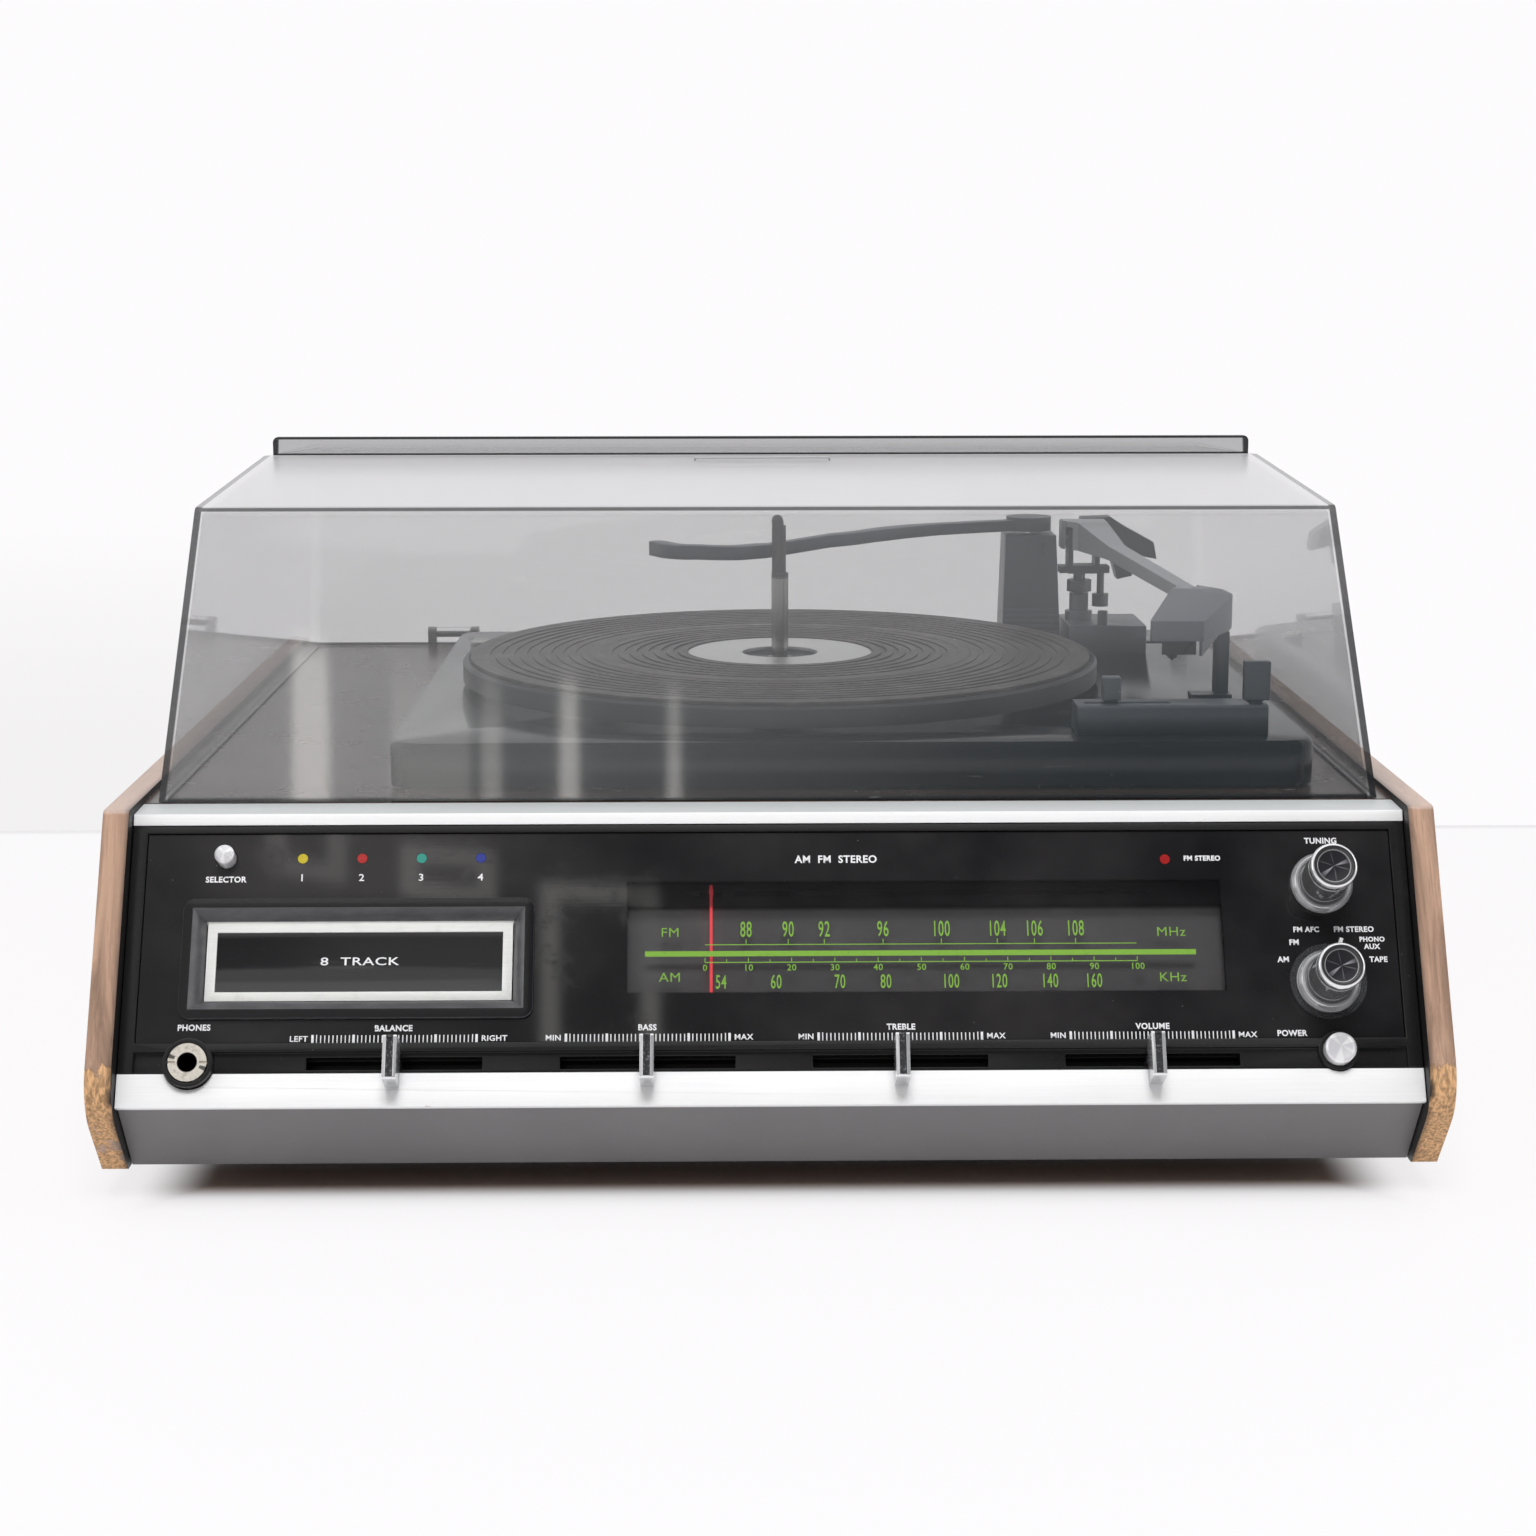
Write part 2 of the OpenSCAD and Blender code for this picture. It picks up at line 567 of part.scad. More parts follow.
// A turned knob standing on the dial face, with its shaft behind
knob_foot = -face_drop + 0.6;
module knob(shaft_back) {
    top = knob_foot + knob_h;
    rotate_extrude() polygon([
        [0, knob_foot], [knob_skirt_r - 0.4, knob_foot], [knob_skirt_r, knob_foot + 0.5],
        [knob_skirt_r, knob_foot + 1.4], [knob_grip_r + 1.7, knob_foot + 3.8],
        [knob_grip_r + 0.9, knob_foot + 3.8], [knob_grip_r + 0.7, knob_foot + 2.8],
        [knob_grip_r, knob_foot + 2.8], [knob_grip_r, top - 5.2], [knob_grip_r - 0.4, top - 5],
        [knob_grip_r - 0.4, top - 4.4], [knob_grip_r, top - 4.2], [knob_grip_r, top - 0.9],
        [knob_grip_r - 0.5, top - 0.2], [knob_grip_r - 1, top], [knob_grip_r - 2, top - 0.2],
        [knob_grip_r - 2.3, top - 1], [0, top - 1]]);
    translate([0, 0, shaft_back]) cylinder(r = shaft_r, h = knob_foot - shaft_back + 1);
}

drum_front = plate_back - 27;
drum_t = 6;
module tuning_knob() color("silver") on_panel(knob_x, tuning_s) {
    knob(drum_front - drum_t);
    translate([0, 0, drum_front - drum_t]) cylinder(r = winder_r, h = drum_t);
}
module function_knob() color("silver") on_panel(knob_x, function_s) difference() {
    union() {
        knob(plate_back - 16);
        translate([0, 0, knob_foot]) cylinder(r = index_r, h = 1);
    }
    // Index line cut in the clear disc
    rotate(-16) translate([0, index_r - 1.6, knob_foot + 1.2]) cube([0.7, 2.6, 1], center = true);
}
module tuning_drum() color("ivory") on_panel(drum_x, drum_s) {
    difference() {
        translate([0, 0, drum_front]) rotate_extrude() polygon([
            [0, 0], [drum_r, 0], [drum_r, -1], [drum_r - 1.4, -2], [drum_r - 1.4, -drum_t + 2],
            [drum_r, -drum_t + 1], [drum_r, -drum_t], [drum_r - 4, -drum_t],
            [drum_r - 4, -3], [8, -3], [8, -drum_t], [0, -drum_t]]);
        for (a = [0:60:300]) rotate(a) translate([drum_r * 0.52, 0, drum_front - drum_t - 1])
            cylinder(r = drum_r * 0.18, h = drum_t + 2);
    }
    translate([0, 0, drum_front - drum_t]) cylinder(r = shaft_r, h = drum_t + 20);
}

button_travel = 2.5;
module selector_button() color("silver") on_panel(selector_x, lamp_s) {
    rotate_extrude() polygon([[0, -2.8], [selector_r, -2.8], [selector_r, 4.6],
        [selector_r - 0.9, 5.6], [0, 6]]);
    translate([0, 0, plate_back - 8]) cylinder(r = 2.2, h = -2.7 - plate_back + 8);
}
module power_button() color("gainsboro") on_panel(power_x, power_s) {
    rotate_extrude() polygon([[0, -frame_t + 3], [power_r, -frame_t + 3],
        [power_r, power_out - 0.7], [power_r - 0.7, power_out], [power_r - 1.1, power_out],
        [power_r - 1.3, power_out - 0.3], [0, power_out - 0.3]]);
    translate([0, 0, -frame_t - 9]) cylinder(r = 2.2, h = 12.1);
}

// A slider: a wedge-shaped handle with a sunk grip, on a flat stem
module slider(i) on_panel(slider_centres[i], 0) {
    high = handle_low + handle_len;
    difference() {
        along_x(handle_w) polygon(rounded([[handle_low - 1, 1], [high - 0.4, 1],
            [high, handle_out], [handle_low, handle_out]], [0.5, 0.5, 0.8, 0.8], 4));
        span([-handle_w / 4, handle_low + 0.9, handle_out - 0.5],
             [handle_w / 4, high - 0.9, handle_out + 1]);
    }
    span([-2, slot_s - 1.2, -frame_t - 4], [2, slot_s + 1.2, 1.2]);
}
module balance_slider() color("silver") slider(0);
module bass_slider() color("silver") slider(1);
module treble_slider() color("silver") slider(2);
module volume_slider() color("silver") slider(3);

// Everything the controls work on: slide pots, switches and the tuning condenser
module panel_controls() color("#6b6f58") {
    for (x = slider_centres) on_panel(x, slot_s, -frame_t) difference() {
        span([-slot_len / 2 - 6, -4.5, -9], [slot_len / 2 + 6, 4.5, 0]);
        span([-slot_len / 2 - 1, -1.7, -6], [slot_len / 2 + 1, 1.7, 1]);
    }
    // Rotary function switch
    on_panel(knob_x, function_s, plate_back) difference() {
        union() {
            translate([0, 0, -18]) cylinder(r = 13, h = 18);
            translate([0, 0, -30]) cylinder(r = 9, h = 14);
        }
        translate([0, 0, -17]) cylinder(r = shaft_r + fit, h = 20);
    }
    // Tuning condenser, which carries the drum
    on_panel(drum_x, drum_s, plate_back) difference() {
        span([-20, -17, -24], [20, 17, 0]);
        translate([0, 0, -25]) cylinder(r = shaft_r + fit, h = 20);
    }
    // Push switches of the power and programme buttons
    on_panel(power_x, power_s, -frame_t) difference() {
        span([-8, -6.2, -18], [8, 5.2, 0]);
        translate([0, 0, -14]) cylinder(r = 2.5, h = 15);
    }
    on_panel(selector_x, lamp_s, plate_back) difference() {
        span([-7, -6, -16], [7, 6, 0]);
        translate([0, 0, -12]) cylinder(r = 2.5, h = 13);
    }
}

module headphone_jack() color("silver") on_panel(jack_x, jack_s) difference() {
    union() {
        // Slotted nut in the boss, the threaded barrel and the spring housing behind the frame
        translate([0, 0, 1.4]) cylinder(r = jack_boss_r - 1.9, h = 2);
        translate([0, 0, -frame_t - 3]) cylinder(r = 4.5, h = frame_t + 6);
        span([-6, -6.5, -frame_t - 26], [6, 6.5, -frame_t]);
    }
    translate([0, 0, 3.4 - jack_bore_len]) cylinder(r = jack_bore_r, h = jack_bore_len + 1);
    for (a = [0, 180]) rotate(a) translate([jack_boss_r - 3, 0, 3.4]) cube([3, 0.9, 1.6], center = true);
}

// ---------------------------------------------------------------- tape player
flare_deep = -door_drop + 0.5;
door_axis_s = tape_s + door_h / 2 + 0.85;
door_axis_o = -door_drop - 1;
door_pin_r = 1.2;
module slab(w, h, o) translate([0, 0, o]) linear_extrude(0.01) square([w, h], center = true);

module tape_bezel() color("#1b1b1d") on_panel(tape_x, tape_s) difference() {
    union() {
        translate([0, 0, -face_drop]) linear_extrude(bezel_out) round_rect(bezel_w, bezel_h, 4);
        translate([0, 0, flare_deep]) linear_extrude(-face_drop - flare_deep)
            square(2 * bezel_hole, center = true);
        // Cheeks that carry the door's pin, and the sill under the cartridge
        for (way = [-1, 1])
            span([way * (door_w / 2 + 2.1) - 1.7, -bezel_hole[1], -13],
                 [way * (door_w / 2 + 2.1) + 1.7, bezel_hole[1], flare_deep]);
        span([-bezel_hole[0], -bezel_hole[1], -13], [bezel_hole[0], -door_h / 2 - gap, flare_deep]);
    }
    hull() {
        slab(door_w + 0.8, door_h + 0.8, flare_deep - 0.1);
        slab(bezel_w - 6.2, bezel_h - 6.2, bezel_out - face_drop + 0.1);
    }
    for (way = [-1, 1])
        translate([way * (door_w / 2 + 0.3), door_axis_s - tape_s, door_axis_o])
            rotate([0, way * 90, 0]) cylinder(r = door_pin_r + fit, h = 8);
}

module tape_door() color("silver") on_panel(tape_x, 0) {
    low = tape_s - door_h / 2;
    high = tape_s + door_h / 2;
    difference() {
        span([-door_w / 2, low, -door_drop - door_t], [door_w / 2, high, -door_drop]);
        span([3.4 - door_w / 2, low + 3.2, -door_drop - 0.4], [door_w / 2 - 3.4, high - 3.2, 0]);
    }
    // Barrel along the top edge, with a stub at each end
    translate([0, door_axis_s, door_axis_o]) rotate([0, 90, 0])
        cylinder(r = door_pin_r, h = door_w + 5, center = true);
}

tray_top = panel_z(tape_s - door_h / 2 - gap, -door_drop) + 0.2;
tray_t = 1.5;
tray_y = [54, 172];
guide_y = 67;
cap_x = tape_x - 30;
cap_y = 131.5;
wheel_z = tray_top - 21.6;
head_x = tape_x + 8;
post_x = head_x + 12;
post_y = 137;
tmotor = [tape_x + 37, 95];
module tape_chassis() color("silver") difference() {
    union() {
        span([tape_x - 62, tray_y[0], tray_top - tray_t], [tape_x + 56, tray_y[1], tray_top]);
        // Guides on both sides of the cartridge, with lips over its edges
        for (way = [-1, 1]) {
            edge = tape_x + way * (cartridge_w / 2 + 1.1);
            span([edge - 0.6, guide_y, tray_top], [edge + 0.6, 126, tray_top + cartridge_h + 2.6]);
            span([edge - 0.6 - (way > 0 ? 4 : 0), 70, tray_top + cartridge_h + 1.4],
                 [edge + 0.6 + (way < 0 ? 4 : 0), 126, tray_top + cartridge_h + 2.6]);
        }
        // Folded legs down to the base board
        for (x = [tape_x - 58, tape_x + 46], y = [tray_y[0] + 4, tray_y[1] - 4])
            span([x, y - 1, base_top], [x + 10, y + 1, tray_top - 0.5]);
        // Capstan bush, head post and the bracket under the flywheel
        translate([cap_x, cap_y, tray_top - 6]) cylinder(r = 5, h = 9);
        translate([post_x, post_y, tray_top - 1]) cylinder(r = 2, h = 22);
        span([cap_x - 7, cap_y - flywheel_r - 4, wheel_z - 5.5],
             [cap_x + 7, cap_y + flywheel_r + 4, wheel_z - 4]);
        for (y = [cap_y - flywheel_r - 4, cap_y + flywheel_r + 2.5])
            span([cap_x - 7, y, wheel_z - 5.5], [cap_x + 7, y + 1.5, tray_top - 0.5]);
        translate([cap_x, cap_y, wheel_z - 5.5]) cylinder(r = 5, h = 4);
    }
    translate([cap_x, cap_y, wheel_z - 4]) cylinder(r = capstan_r + fit, h = 50);
}

belt_z = wheel_z + flywheel_t / 2;
module flywheel() color("gray") translate([cap_x, cap_y, 0]) {
    translate([0, 0, wheel_z]) rotate_extrude() polygon([
        [0, 0], [flywheel_r, 0], [flywheel_r, flywheel_t / 2 - 3],
        [flywheel_r - 1, flywheel_t / 2 - 2.4], [flywheel_r - 1, flywheel_t / 2 + 2.4],
        [flywheel_r, flywheel_t / 2 + 3], [flywheel_r, flywheel_t], [flywheel_r - 6, flywheel_t],
        [flywheel_r - 8, flywheel_t - 4], [9, flywheel_t - 4], [7, flywheel_t], [0, flywheel_t]]);
    translate([0, 0, wheel_z - 3.9]) cylinder(r = capstan_r, h = 46);
}

tpulley_r = 6;
module tape_motor() color("lightgray") translate([tmotor[0], tmotor[1], 0]) difference() {
    union() {
        translate([0, 0, base_top]) cylinder(r = 18, h = belt_z - 6 - base_top - 1);
        translate([0, 0, belt_z - 7.1]) cylinder(r = 5, h = 1.5);
    }
    translate([0, 0, belt_z - 16]) cylinder(r = 1.2 + fit, h = 14);
}
module tape_pulley() color("goldenrod") translate([tmotor[0], tmotor[1], belt_z]) {
    rotate_extrude() polygon([[0, -4.5], [tpulley_r + 1, -4.5], [tpulley_r + 1, -3],
        [tpulley_r, -2.4], [tpulley_r, 2.4], [tpulley_r + 1, 3], [tpulley_r + 1, 4.5], [0, 4.5]]);
    translate([0, 0, -14]) cylinder(r = 1.2, h = 12);
}
module drive_belt() color("#151515") translate([0, 0, belt_z - 2]) linear_extrude(4) difference() {
    belt_loop(1.1);
    belt_loop(nip);
}
module belt_loop(grow) hull() {
    translate([cap_x, cap_y]) circle(flywheel_r - 1 + grow);
    translate(tmotor) circle(tpulley_r + grow);
}

module tape_head() color("gainsboro") difference() {
    union() {
        // Shielded head, its arm and the sleeve on the post
        translate([head_x, 134.5, tray_top + 10]) cube([13, 9, 12], center = true);
        translate([head_x, 130.2, tray_top + 4]) cylinder(r = 2.4, h = 12);
        span([head_x, 135, tray_top + 5], [post_x, 139, tray_top + 9]);
        translate([post_x, post_y, tray_top + 3]) cylinder(r = 4, h = 13);
    }
    translate([post_x, post_y, tray_top]) cylinder(r = 2 + fit, h = 20);
}

// ---------------------------------------------------------------- record changer
post_r = 5;
hub_r = post_r + 0.06;
spring_spots = [for (x = [-1, 1], y = [changer_y + 11, changer_y + changer_d - 11])
    [changer_x + x * (changer_w / 2 - 10.5), y]];
module changer_plate() color("#1d1f21") {
    difference() {
        translate([changer_x, changer_y + changer_d / 2, plate_z - skirt_h]) union() {
            linear_extrude(skirt_h - 1.5) round_rect(changer_w, changer_d, 10);
            // The top edge is rolled over in two steps
            translate([0, 0, skirt_h - 1.6]) linear_extrude(1) round_rect(changer_w - 0.8, changer_d - 0.8, 10);
            translate([0, 0, skirt_h - 0.7]) linear_extrude(0.7) round_rect(changer_w - 2.4, changer_d - 2.4, 10);
        }
        translate([changer_x, changer_y + changer_d / 2, plate_z - skirt_h - 1])
            linear_extrude(skirt_h + 1 - changer_t)
                round_rect(changer_w - 2 * changer_t, changer_d - 2 * changer_t, 9);
        translate([motor_hole[0], motor_hole[1], plate_z - 5]) cylinder(r = 8, h = 6);
        // Shallow ring pressed in under the platter
        translate([platter_x, platter_y, plate_z - 0.5]) difference() {
            cylinder(r = platter_r - 20, h = 1);
            translate([0, 0, -1]) cylinder(r = platter_r - 60, h = 3);
        }
        for (x = [changer_x - changer_w / 2 + 12, changer_x + changer_w / 2 - 12])
            translate([x, changer_y + changer_d - 40, plate_z - 3]) cylinder(r = 2.1, h = 4);
        translate([start_x - 2.4, control_y + 3.9, plate_z - 3]) cube([4.8, 11.6, 4]);
    }
    // Bearing post of the platter, bored for the spindle
    translate([platter_x, platter_y, plate_z - changer_t]) difference() {
        union() {
            cylinder(r = post_r, h = changer_t + platter_h - 0.5);
            cylinder(r = 12, h = changer_t + 0.8);
        }
        translate([0, 0, 1]) cylinder(r = spindle_shank_r + fit, h = 20);
    }
    // Idler stud
    translate([idler_at[0], idler_at[1], plate_z - changer_t]) cylinder(r = 2, h = changer_t + 6.5);
}

spring_r = 5;
spring_wire = 0.6;
spring_line = coil_line(spring_r, spring_wire, changer_h - changer_t, 5);
echo(str("changer_springs: least gap between turns ", coil_gap(spring_line, spring_wire), " mm"));
module changer_springs() color("silver")
    for (p = spring_spots) translate([p[0], p[1], deck_z]) coil(spring_line, spring_wire);

module platter() color("#8f9290") translate([platter_x, platter_y, plate_z]) rotate_extrude($fn = 96)
    polygon([
        [hub_r, 1.6], [11, 1.6], [14, platter_h - 1.6], [rim_in - 3, platter_h - 1.6],
        [rim_in, platter_h - 4], [rim_in, 2.6], [platter_r, 2.6], [platter_r, platter_h - 0.6],
        [platter_r - 1, platter_h + 0.5], [platter_r - 2.4, platter_h + 0.5],
        [platter_r - 2.8, platter_h], [16, platter_h], [15, platter_h - 1.2],
        [hub_r, platter_h - 1.2]]);

mat_r = platter_r - 3.2;
ring_r = 76;
module platter_mat() color("#221e1c") translate([platter_x, platter_y, plate_z + platter_h])
    rotate_extrude($fn = 96) difference() {
        polygon(concat(
            [[disc_r + 0.3, 0], [disc_r + 0.3, mat_t], [ring_r - 3, mat_t - 0.5],
             [ring_r - 2, mat_t], [ring_r + 2, mat_t], [ring_r + 3, mat_t - 0.5]],
            [[mat_r - 5, mat_t - 0.4], [mat_r - 3, mat_t], [mat_r, mat_t - 0.3], [mat_r, 0]]));
        // Concentric grooves on both sides of the raised ring
        for (i = [0:5]) translate([disc_r + 4 + i * 5, mat_t - 0.9]) square([2.2, 2]);
        for (i = [0:7]) translate([ring_r + 6 + i * 5, mat_t - 0.9]) square([2.2, 2]);
    }

module centre_disc() color("gainsboro") translate([platter_x, platter_y, plate_z + platter_h])
    rotate_extrude($fn = 96) polygon([[15.5, 0], [disc_r, 0], [disc_r, mat_t - 0.8],
        [disc_r - 1, mat_t - 0.4], [17, mat_t - 0.4], [15.5, mat_t - 0.8]]);

// The shank drops into the bearing post. A shoulder above the mat starts the records' seat.
spindle_shank_r = spindle_r - 0.4;
spindle_seat = platter_h + mat_t + 0.2;
module spindle() color("silver") translate([platter_x, platter_y, plate_z]) {
    shelf = spindle_h - 24;
    rotate_extrude() polygon([[0, 0.3], [spindle_shank_r - 0.5, 0.3], [spindle_shank_r, 0.8],
        [spindle_shank_r, spindle_seat], [spindle_r, spindle_seat], [spindle_r, shelf], [0, shelf]]);
    // Above the shelf the spindle is set over and ends in a rounded hook
    translate([-0.4, 0, shelf - 0.5]) cylinder(r = spindle_r - 0.6, h = 20);
    translate([-0.4, 0, shelf + 17]) rotate([0, -8, 0]) rotate_extrude() polygon(concat(
        [[0, 0], [spindle_r - 1.1, 0]],
        [for (a = [0:15:90]) [(spindle_r - 1.1) * cos(a), 4.5 + (spindle_r - 1.1) * sin(a)]]));
}

// The overarm's post stands clear of the platter's rim, and the tone arm's base stands beside it
over_clear = 20.3204;
over_way = unit([112.9, 99.7]);
over_x = platter_x + over_way[0] * (platter_r + over_clear);
over_y = platter_y + over_way[1] * (platter_r + over_clear);
over_t = 22;
module overarm_post() color("#191a1b") difference() {
    hull() {
        translate([over_x + 0.6, over_y, plate_z]) linear_extrude(1)
            square([26, over_t + 4], center = true);
        translate([over_x, over_y, plate_z + post_h - 1]) linear_extrude(1)
            square([22.4, over_t], center = true);
    }
    translate([over_x, over_y, over_base - over_shaft_len - gap])
        cylinder(r = over_shaft_r + fit, h = post_h);
    // Moulded grooves across the front, and a slot near the top
    for (i = [0:7]) translate([over_x, over_y - over_t / 2 - 2.6, plate_z + 3 + i * 2.4])
        cube([40, 2.6, 0.8], center = true);
    translate([over_x + 5, over_y - over_t / 2, plate_z + post_h - 6]) cube([1.8, 4, 5], center = true);
}
over_shaft_r = 3.5;
over_shaft_len = 38;
over_base = plate_z + post_h;
module overarm_shaft() color("silver") translate([over_x, over_y, over_base]) {
    translate([0, 0, -over_shaft_len]) cylinder(r = over_shaft_r, h = over_shaft_len + 0.3);
    translate([0, 0, 0.3]) cylinder(r = 6, h = 1);
    cylinder(r = 2.5, h = 6);
}

// The overarm's line in plan, from its post to its free end. It passes close behind the spindle.
over_pass = [platter_x - over_x - 4.5, platter_y - over_y + 8.5];
over_line = [[0, 0], [-32, -16], [-53, -30], [-82, -66], over_pass, over_pass + [-16, -14],
    over_pass + [-36, -13], over_pass + [-46, 2]];
over_w = 7;
// Its underside seen from the front: it arches towards the spindle and dips past it
over_rise = [[10, 0], [-24, 0.2], [-50, 0.3], [-72, 1.2], [-92, 1], [-108, -0.4], [-118, -1.2],
    [-131, -0.7], [-146, -0.2], [-180, -0.8]];
// A curve through all the points of an open line
function bend(a, b, c, d, t) = (2 * b + (c - a) * t + (2 * a - 5 * b + 4 * c - d) * t * t
    + (3 * b - a - 3 * c + d) * t * t * t) / 2;
function curve(p, k) = let (n = len(p) - 1) concat(
    [for (i = [0:n - 1], j = [0:k - 1])
        bend(p[max(i - 1, 0)], p[i], p[i + 1], p[min(i + 2, n)], j / k)], [p[n]]);
// The outline of a band of width w along such a line, with a round far end
function across(p, i) = let (d = unit(p[min(i + 1, len(p) - 1)] - p[max(i - 1, 0)])) [-d[1], d[0]];
function band(p, w) = let (n = len(p) - 1, a = across(p, n), d = [a[1], -a[0]]) concat(
    [for (i = [0:n]) p[i] + across(p, i) * w / 2],
    [for (t = [15:15:165]) p[n] + (a * cos(t) + d * sin(t)) * w / 2],
    [for (i = [n:-1:0]) p[i] - across(p, i) * w / 2]);
module overarm() color("#191a1b") translate([over_x, over_y, over_base + 1.5]) difference() {
    union() {
        intersection() {
            translate([0, 0, -20]) linear_extrude(40) polygon(band(curve(over_line, 5), over_w));
            along_y(400) polygon(concat(over_rise, [for (i = [len(over_rise) - 1:-1:0])
                over_rise[i] + [0, overarm_h + 0.12 * i]]));
        }
        cylinder(r = 10, h = 6);
    }
    translate([0, 0, -1]) cylinder(r = 2.5 + fit, h = 6);
}

arm_x = over_x + 24.4;
arm_y = over_y - 10;
arm_z = plate_z + arm_h;
module arm_pedestal() color("#202224") {
    block_h = 12;
    span([arm_x - 9.3, arm_y - 23, plate_z], [arm_x + 24.5, arm_y + 17, plate_z + block_h]);
    difference() {
        union() {
            translate([arm_x - 2.5, arm_y, plate_z + block_h]) cylinder(r = 6, h = 4);
            translate([arm_x - 2.5, arm_y, plate_z + block_h]) cylinder(r = 4.2, h = 12);
        }
        translate([arm_x - 2.5, arm_y, plate_z + block_h + 2]) cylinder(r = 2.6 + fit, h = 20);
    }
    // Set-down adjusting post
    translate([arm_x + 6, arm_y - 17, plate_z + block_h]) cylinder(r = 2.2, h = 6);
}

pivot_r = 1.5;
yaw_x = arm_x - 2.5;
module arm_gimbal() color("#3a3d40") {
    // Column in the pedestal, collar, and a yoke that holds the arm's cross pin
    translate([yaw_x, arm_y, plate_z + 14.4]) cylinder(r = 2.6, h = 20);
    translate([yaw_x, arm_y, plate_z + 24.8]) cylinder(r = 5.4, h = 5);
    difference() {
        span([yaw_x - 5.6, arm_y - 5, arm_z - 16], [yaw_x + 8.4, arm_y + 6, arm_z + 3.4]);
        span([yaw_x - 3.4, arm_y - 6, arm_z - 12.5], [yaw_x + 6.2, arm_y + 7, arm_z + 5]);
        translate([yaw_x, arm_y, arm_z]) rotate([0, 90, 0])
            cylinder(r = pivot_r + fit, h = 40, center = true);
    }
    // Wide foot of the yoke and the adjusting knob that hangs from it
    span([yaw_x - 9, arm_y - 3, arm_z - 16], [yaw_x + 13, arm_y + 6, arm_z - 13]);
    translate([yaw_x + 9.5, arm_y, arm_z - 27]) cylinder(r = 1.6, h = 12);
    translate([yaw_x + 9.5, arm_y, arm_z - 31]) cylinder(r = 3.6, h = 5.5);
}

// Places along the arm: u runs from the pivot to the head, w across, down a gentle slope
arm_fall = 2.6;
function arm_at(u, w) = [arm_x + 1 + u * sin(arm_yaw) + w * cos(arm_yaw),
    arm_y - u * cos(arm_yaw) + w * sin(arm_yaw)];
function arm_side(u, h) = [arm_y - u * cos(arm_yaw), arm_z - u * sin(arm_fall) + h];
hood_half = 9.6;
module tone_arm() color("#b9bcc0") {
    // Hood over the yoke, running out into a tapering channel that is open below
    difference() {
        intersection() {
            translate([0, 0, arm_z - 30]) linear_extrude(60) polygon([
                [yaw_x + 1.5 - hood_half, arm_y + 11], [yaw_x + 1.5 - hood_half, arm_y + 1],
                [yaw_x + 3.3 - hood_half, arm_y - 4.5], [yaw_x + 7.6 - hood_half, arm_y - 9],
                arm_at(46, -3.7), arm_at(arm_len + 2, -3.2), arm_at(arm_len + 2, 3.2),
                arm_at(46, 3.7), [yaw_x + 1.5 + hood_half, arm_y - 9],
                [yaw_x + 1.5 + hood_half, arm_y + 11]]);
            along_x(600) polygon([[arm_y + 12, arm_z + 5.6], [arm_y + 6, arm_z + 7.2],
                [arm_y - 8, arm_z + 7], arm_side(46, 3), arm_side(arm_len + 4, 2.5),
                arm_side(arm_len + 4, -2.5), arm_side(46, -3), [arm_y - 9, arm_z - 5.4],
                [arm_y + 12, arm_z - 5.4]]);
        }
        intersection() {
            translate([0, 0, arm_z - 30]) linear_extrude(60) polygon([
                arm_at(20, -2.6), arm_at(arm_len + 6, -2.1), arm_at(arm_len + 6, 2.1),
                arm_at(20, 2.6)]);
            along_x(600) polygon([arm_side(14, -9), arm_side(20, 1.6),
                arm_side(arm_len + 9, 1.3), arm_side(arm_len + 9, -9)]);
        }
        span([yaw_x + 2.8 - hood_half, arm_y - 6.8, arm_z - 8],
             [yaw_x + 0.2 + hood_half, arm_y + 9.4, arm_z + 4.6]);
    }
    // Cross pin in the yoke
    translate([yaw_x + 1.5, arm_y, arm_z]) rotate([0, 90, 0])
        cylinder(r = pivot_r, h = 2 * hood_half - 1, center = true);
}

shell_back = [arm_x + 1 + arm_len * sin(arm_yaw), arm_y - arm_len * cos(arm_yaw)];
shell_z = arm_z - arm_len * sin(arm_fall);
// The shell's outline in plan, from its squared front to the corner where the arm enters
shell_line = [[-21.8, -43], [-1.2, -43], [14.6, -16], [4, 2], [-4, 2]];
module head_shell() color("#2a2c2e") translate([shell_back[0], shell_back[1], shell_z]) {
    difference() {
        intersection() {
            translate([0, 0, -20]) linear_extrude(26)
                polygon(rounded(shell_line, [1, 1, 3, 2, 2], 4));
            // Side view: the top falls to the front, and the underside rises to the back
            along_x(60) polygon([[-43.5, -4.5], [-43.5, -12], [-20, -11.5], [3, -3], [3, 3.6],
                [-10, 3.6]]);
        }
        // Open underneath, round the pickup
        translate([0, 0, -20.5]) linear_extrude(14) polygon([[-19.6, -40.8], [-2.6, -40.8],
            [10.8, -17], [3.4, -12], [-2, -12]]);
        translate([0, 0, -3]) rotate([0, 0, arm_yaw]) cube([6.8, 6, 14], center = true);
    }
    // Wall on the outer side, which reaches down beside the pickup
    hull() {
        translate([-2, -42, -17.6]) cylinder(r = 0.6, h = 12);
        translate([12.6, -17, -8]) cylinder(r = 0.6, h = 8);
    }
}
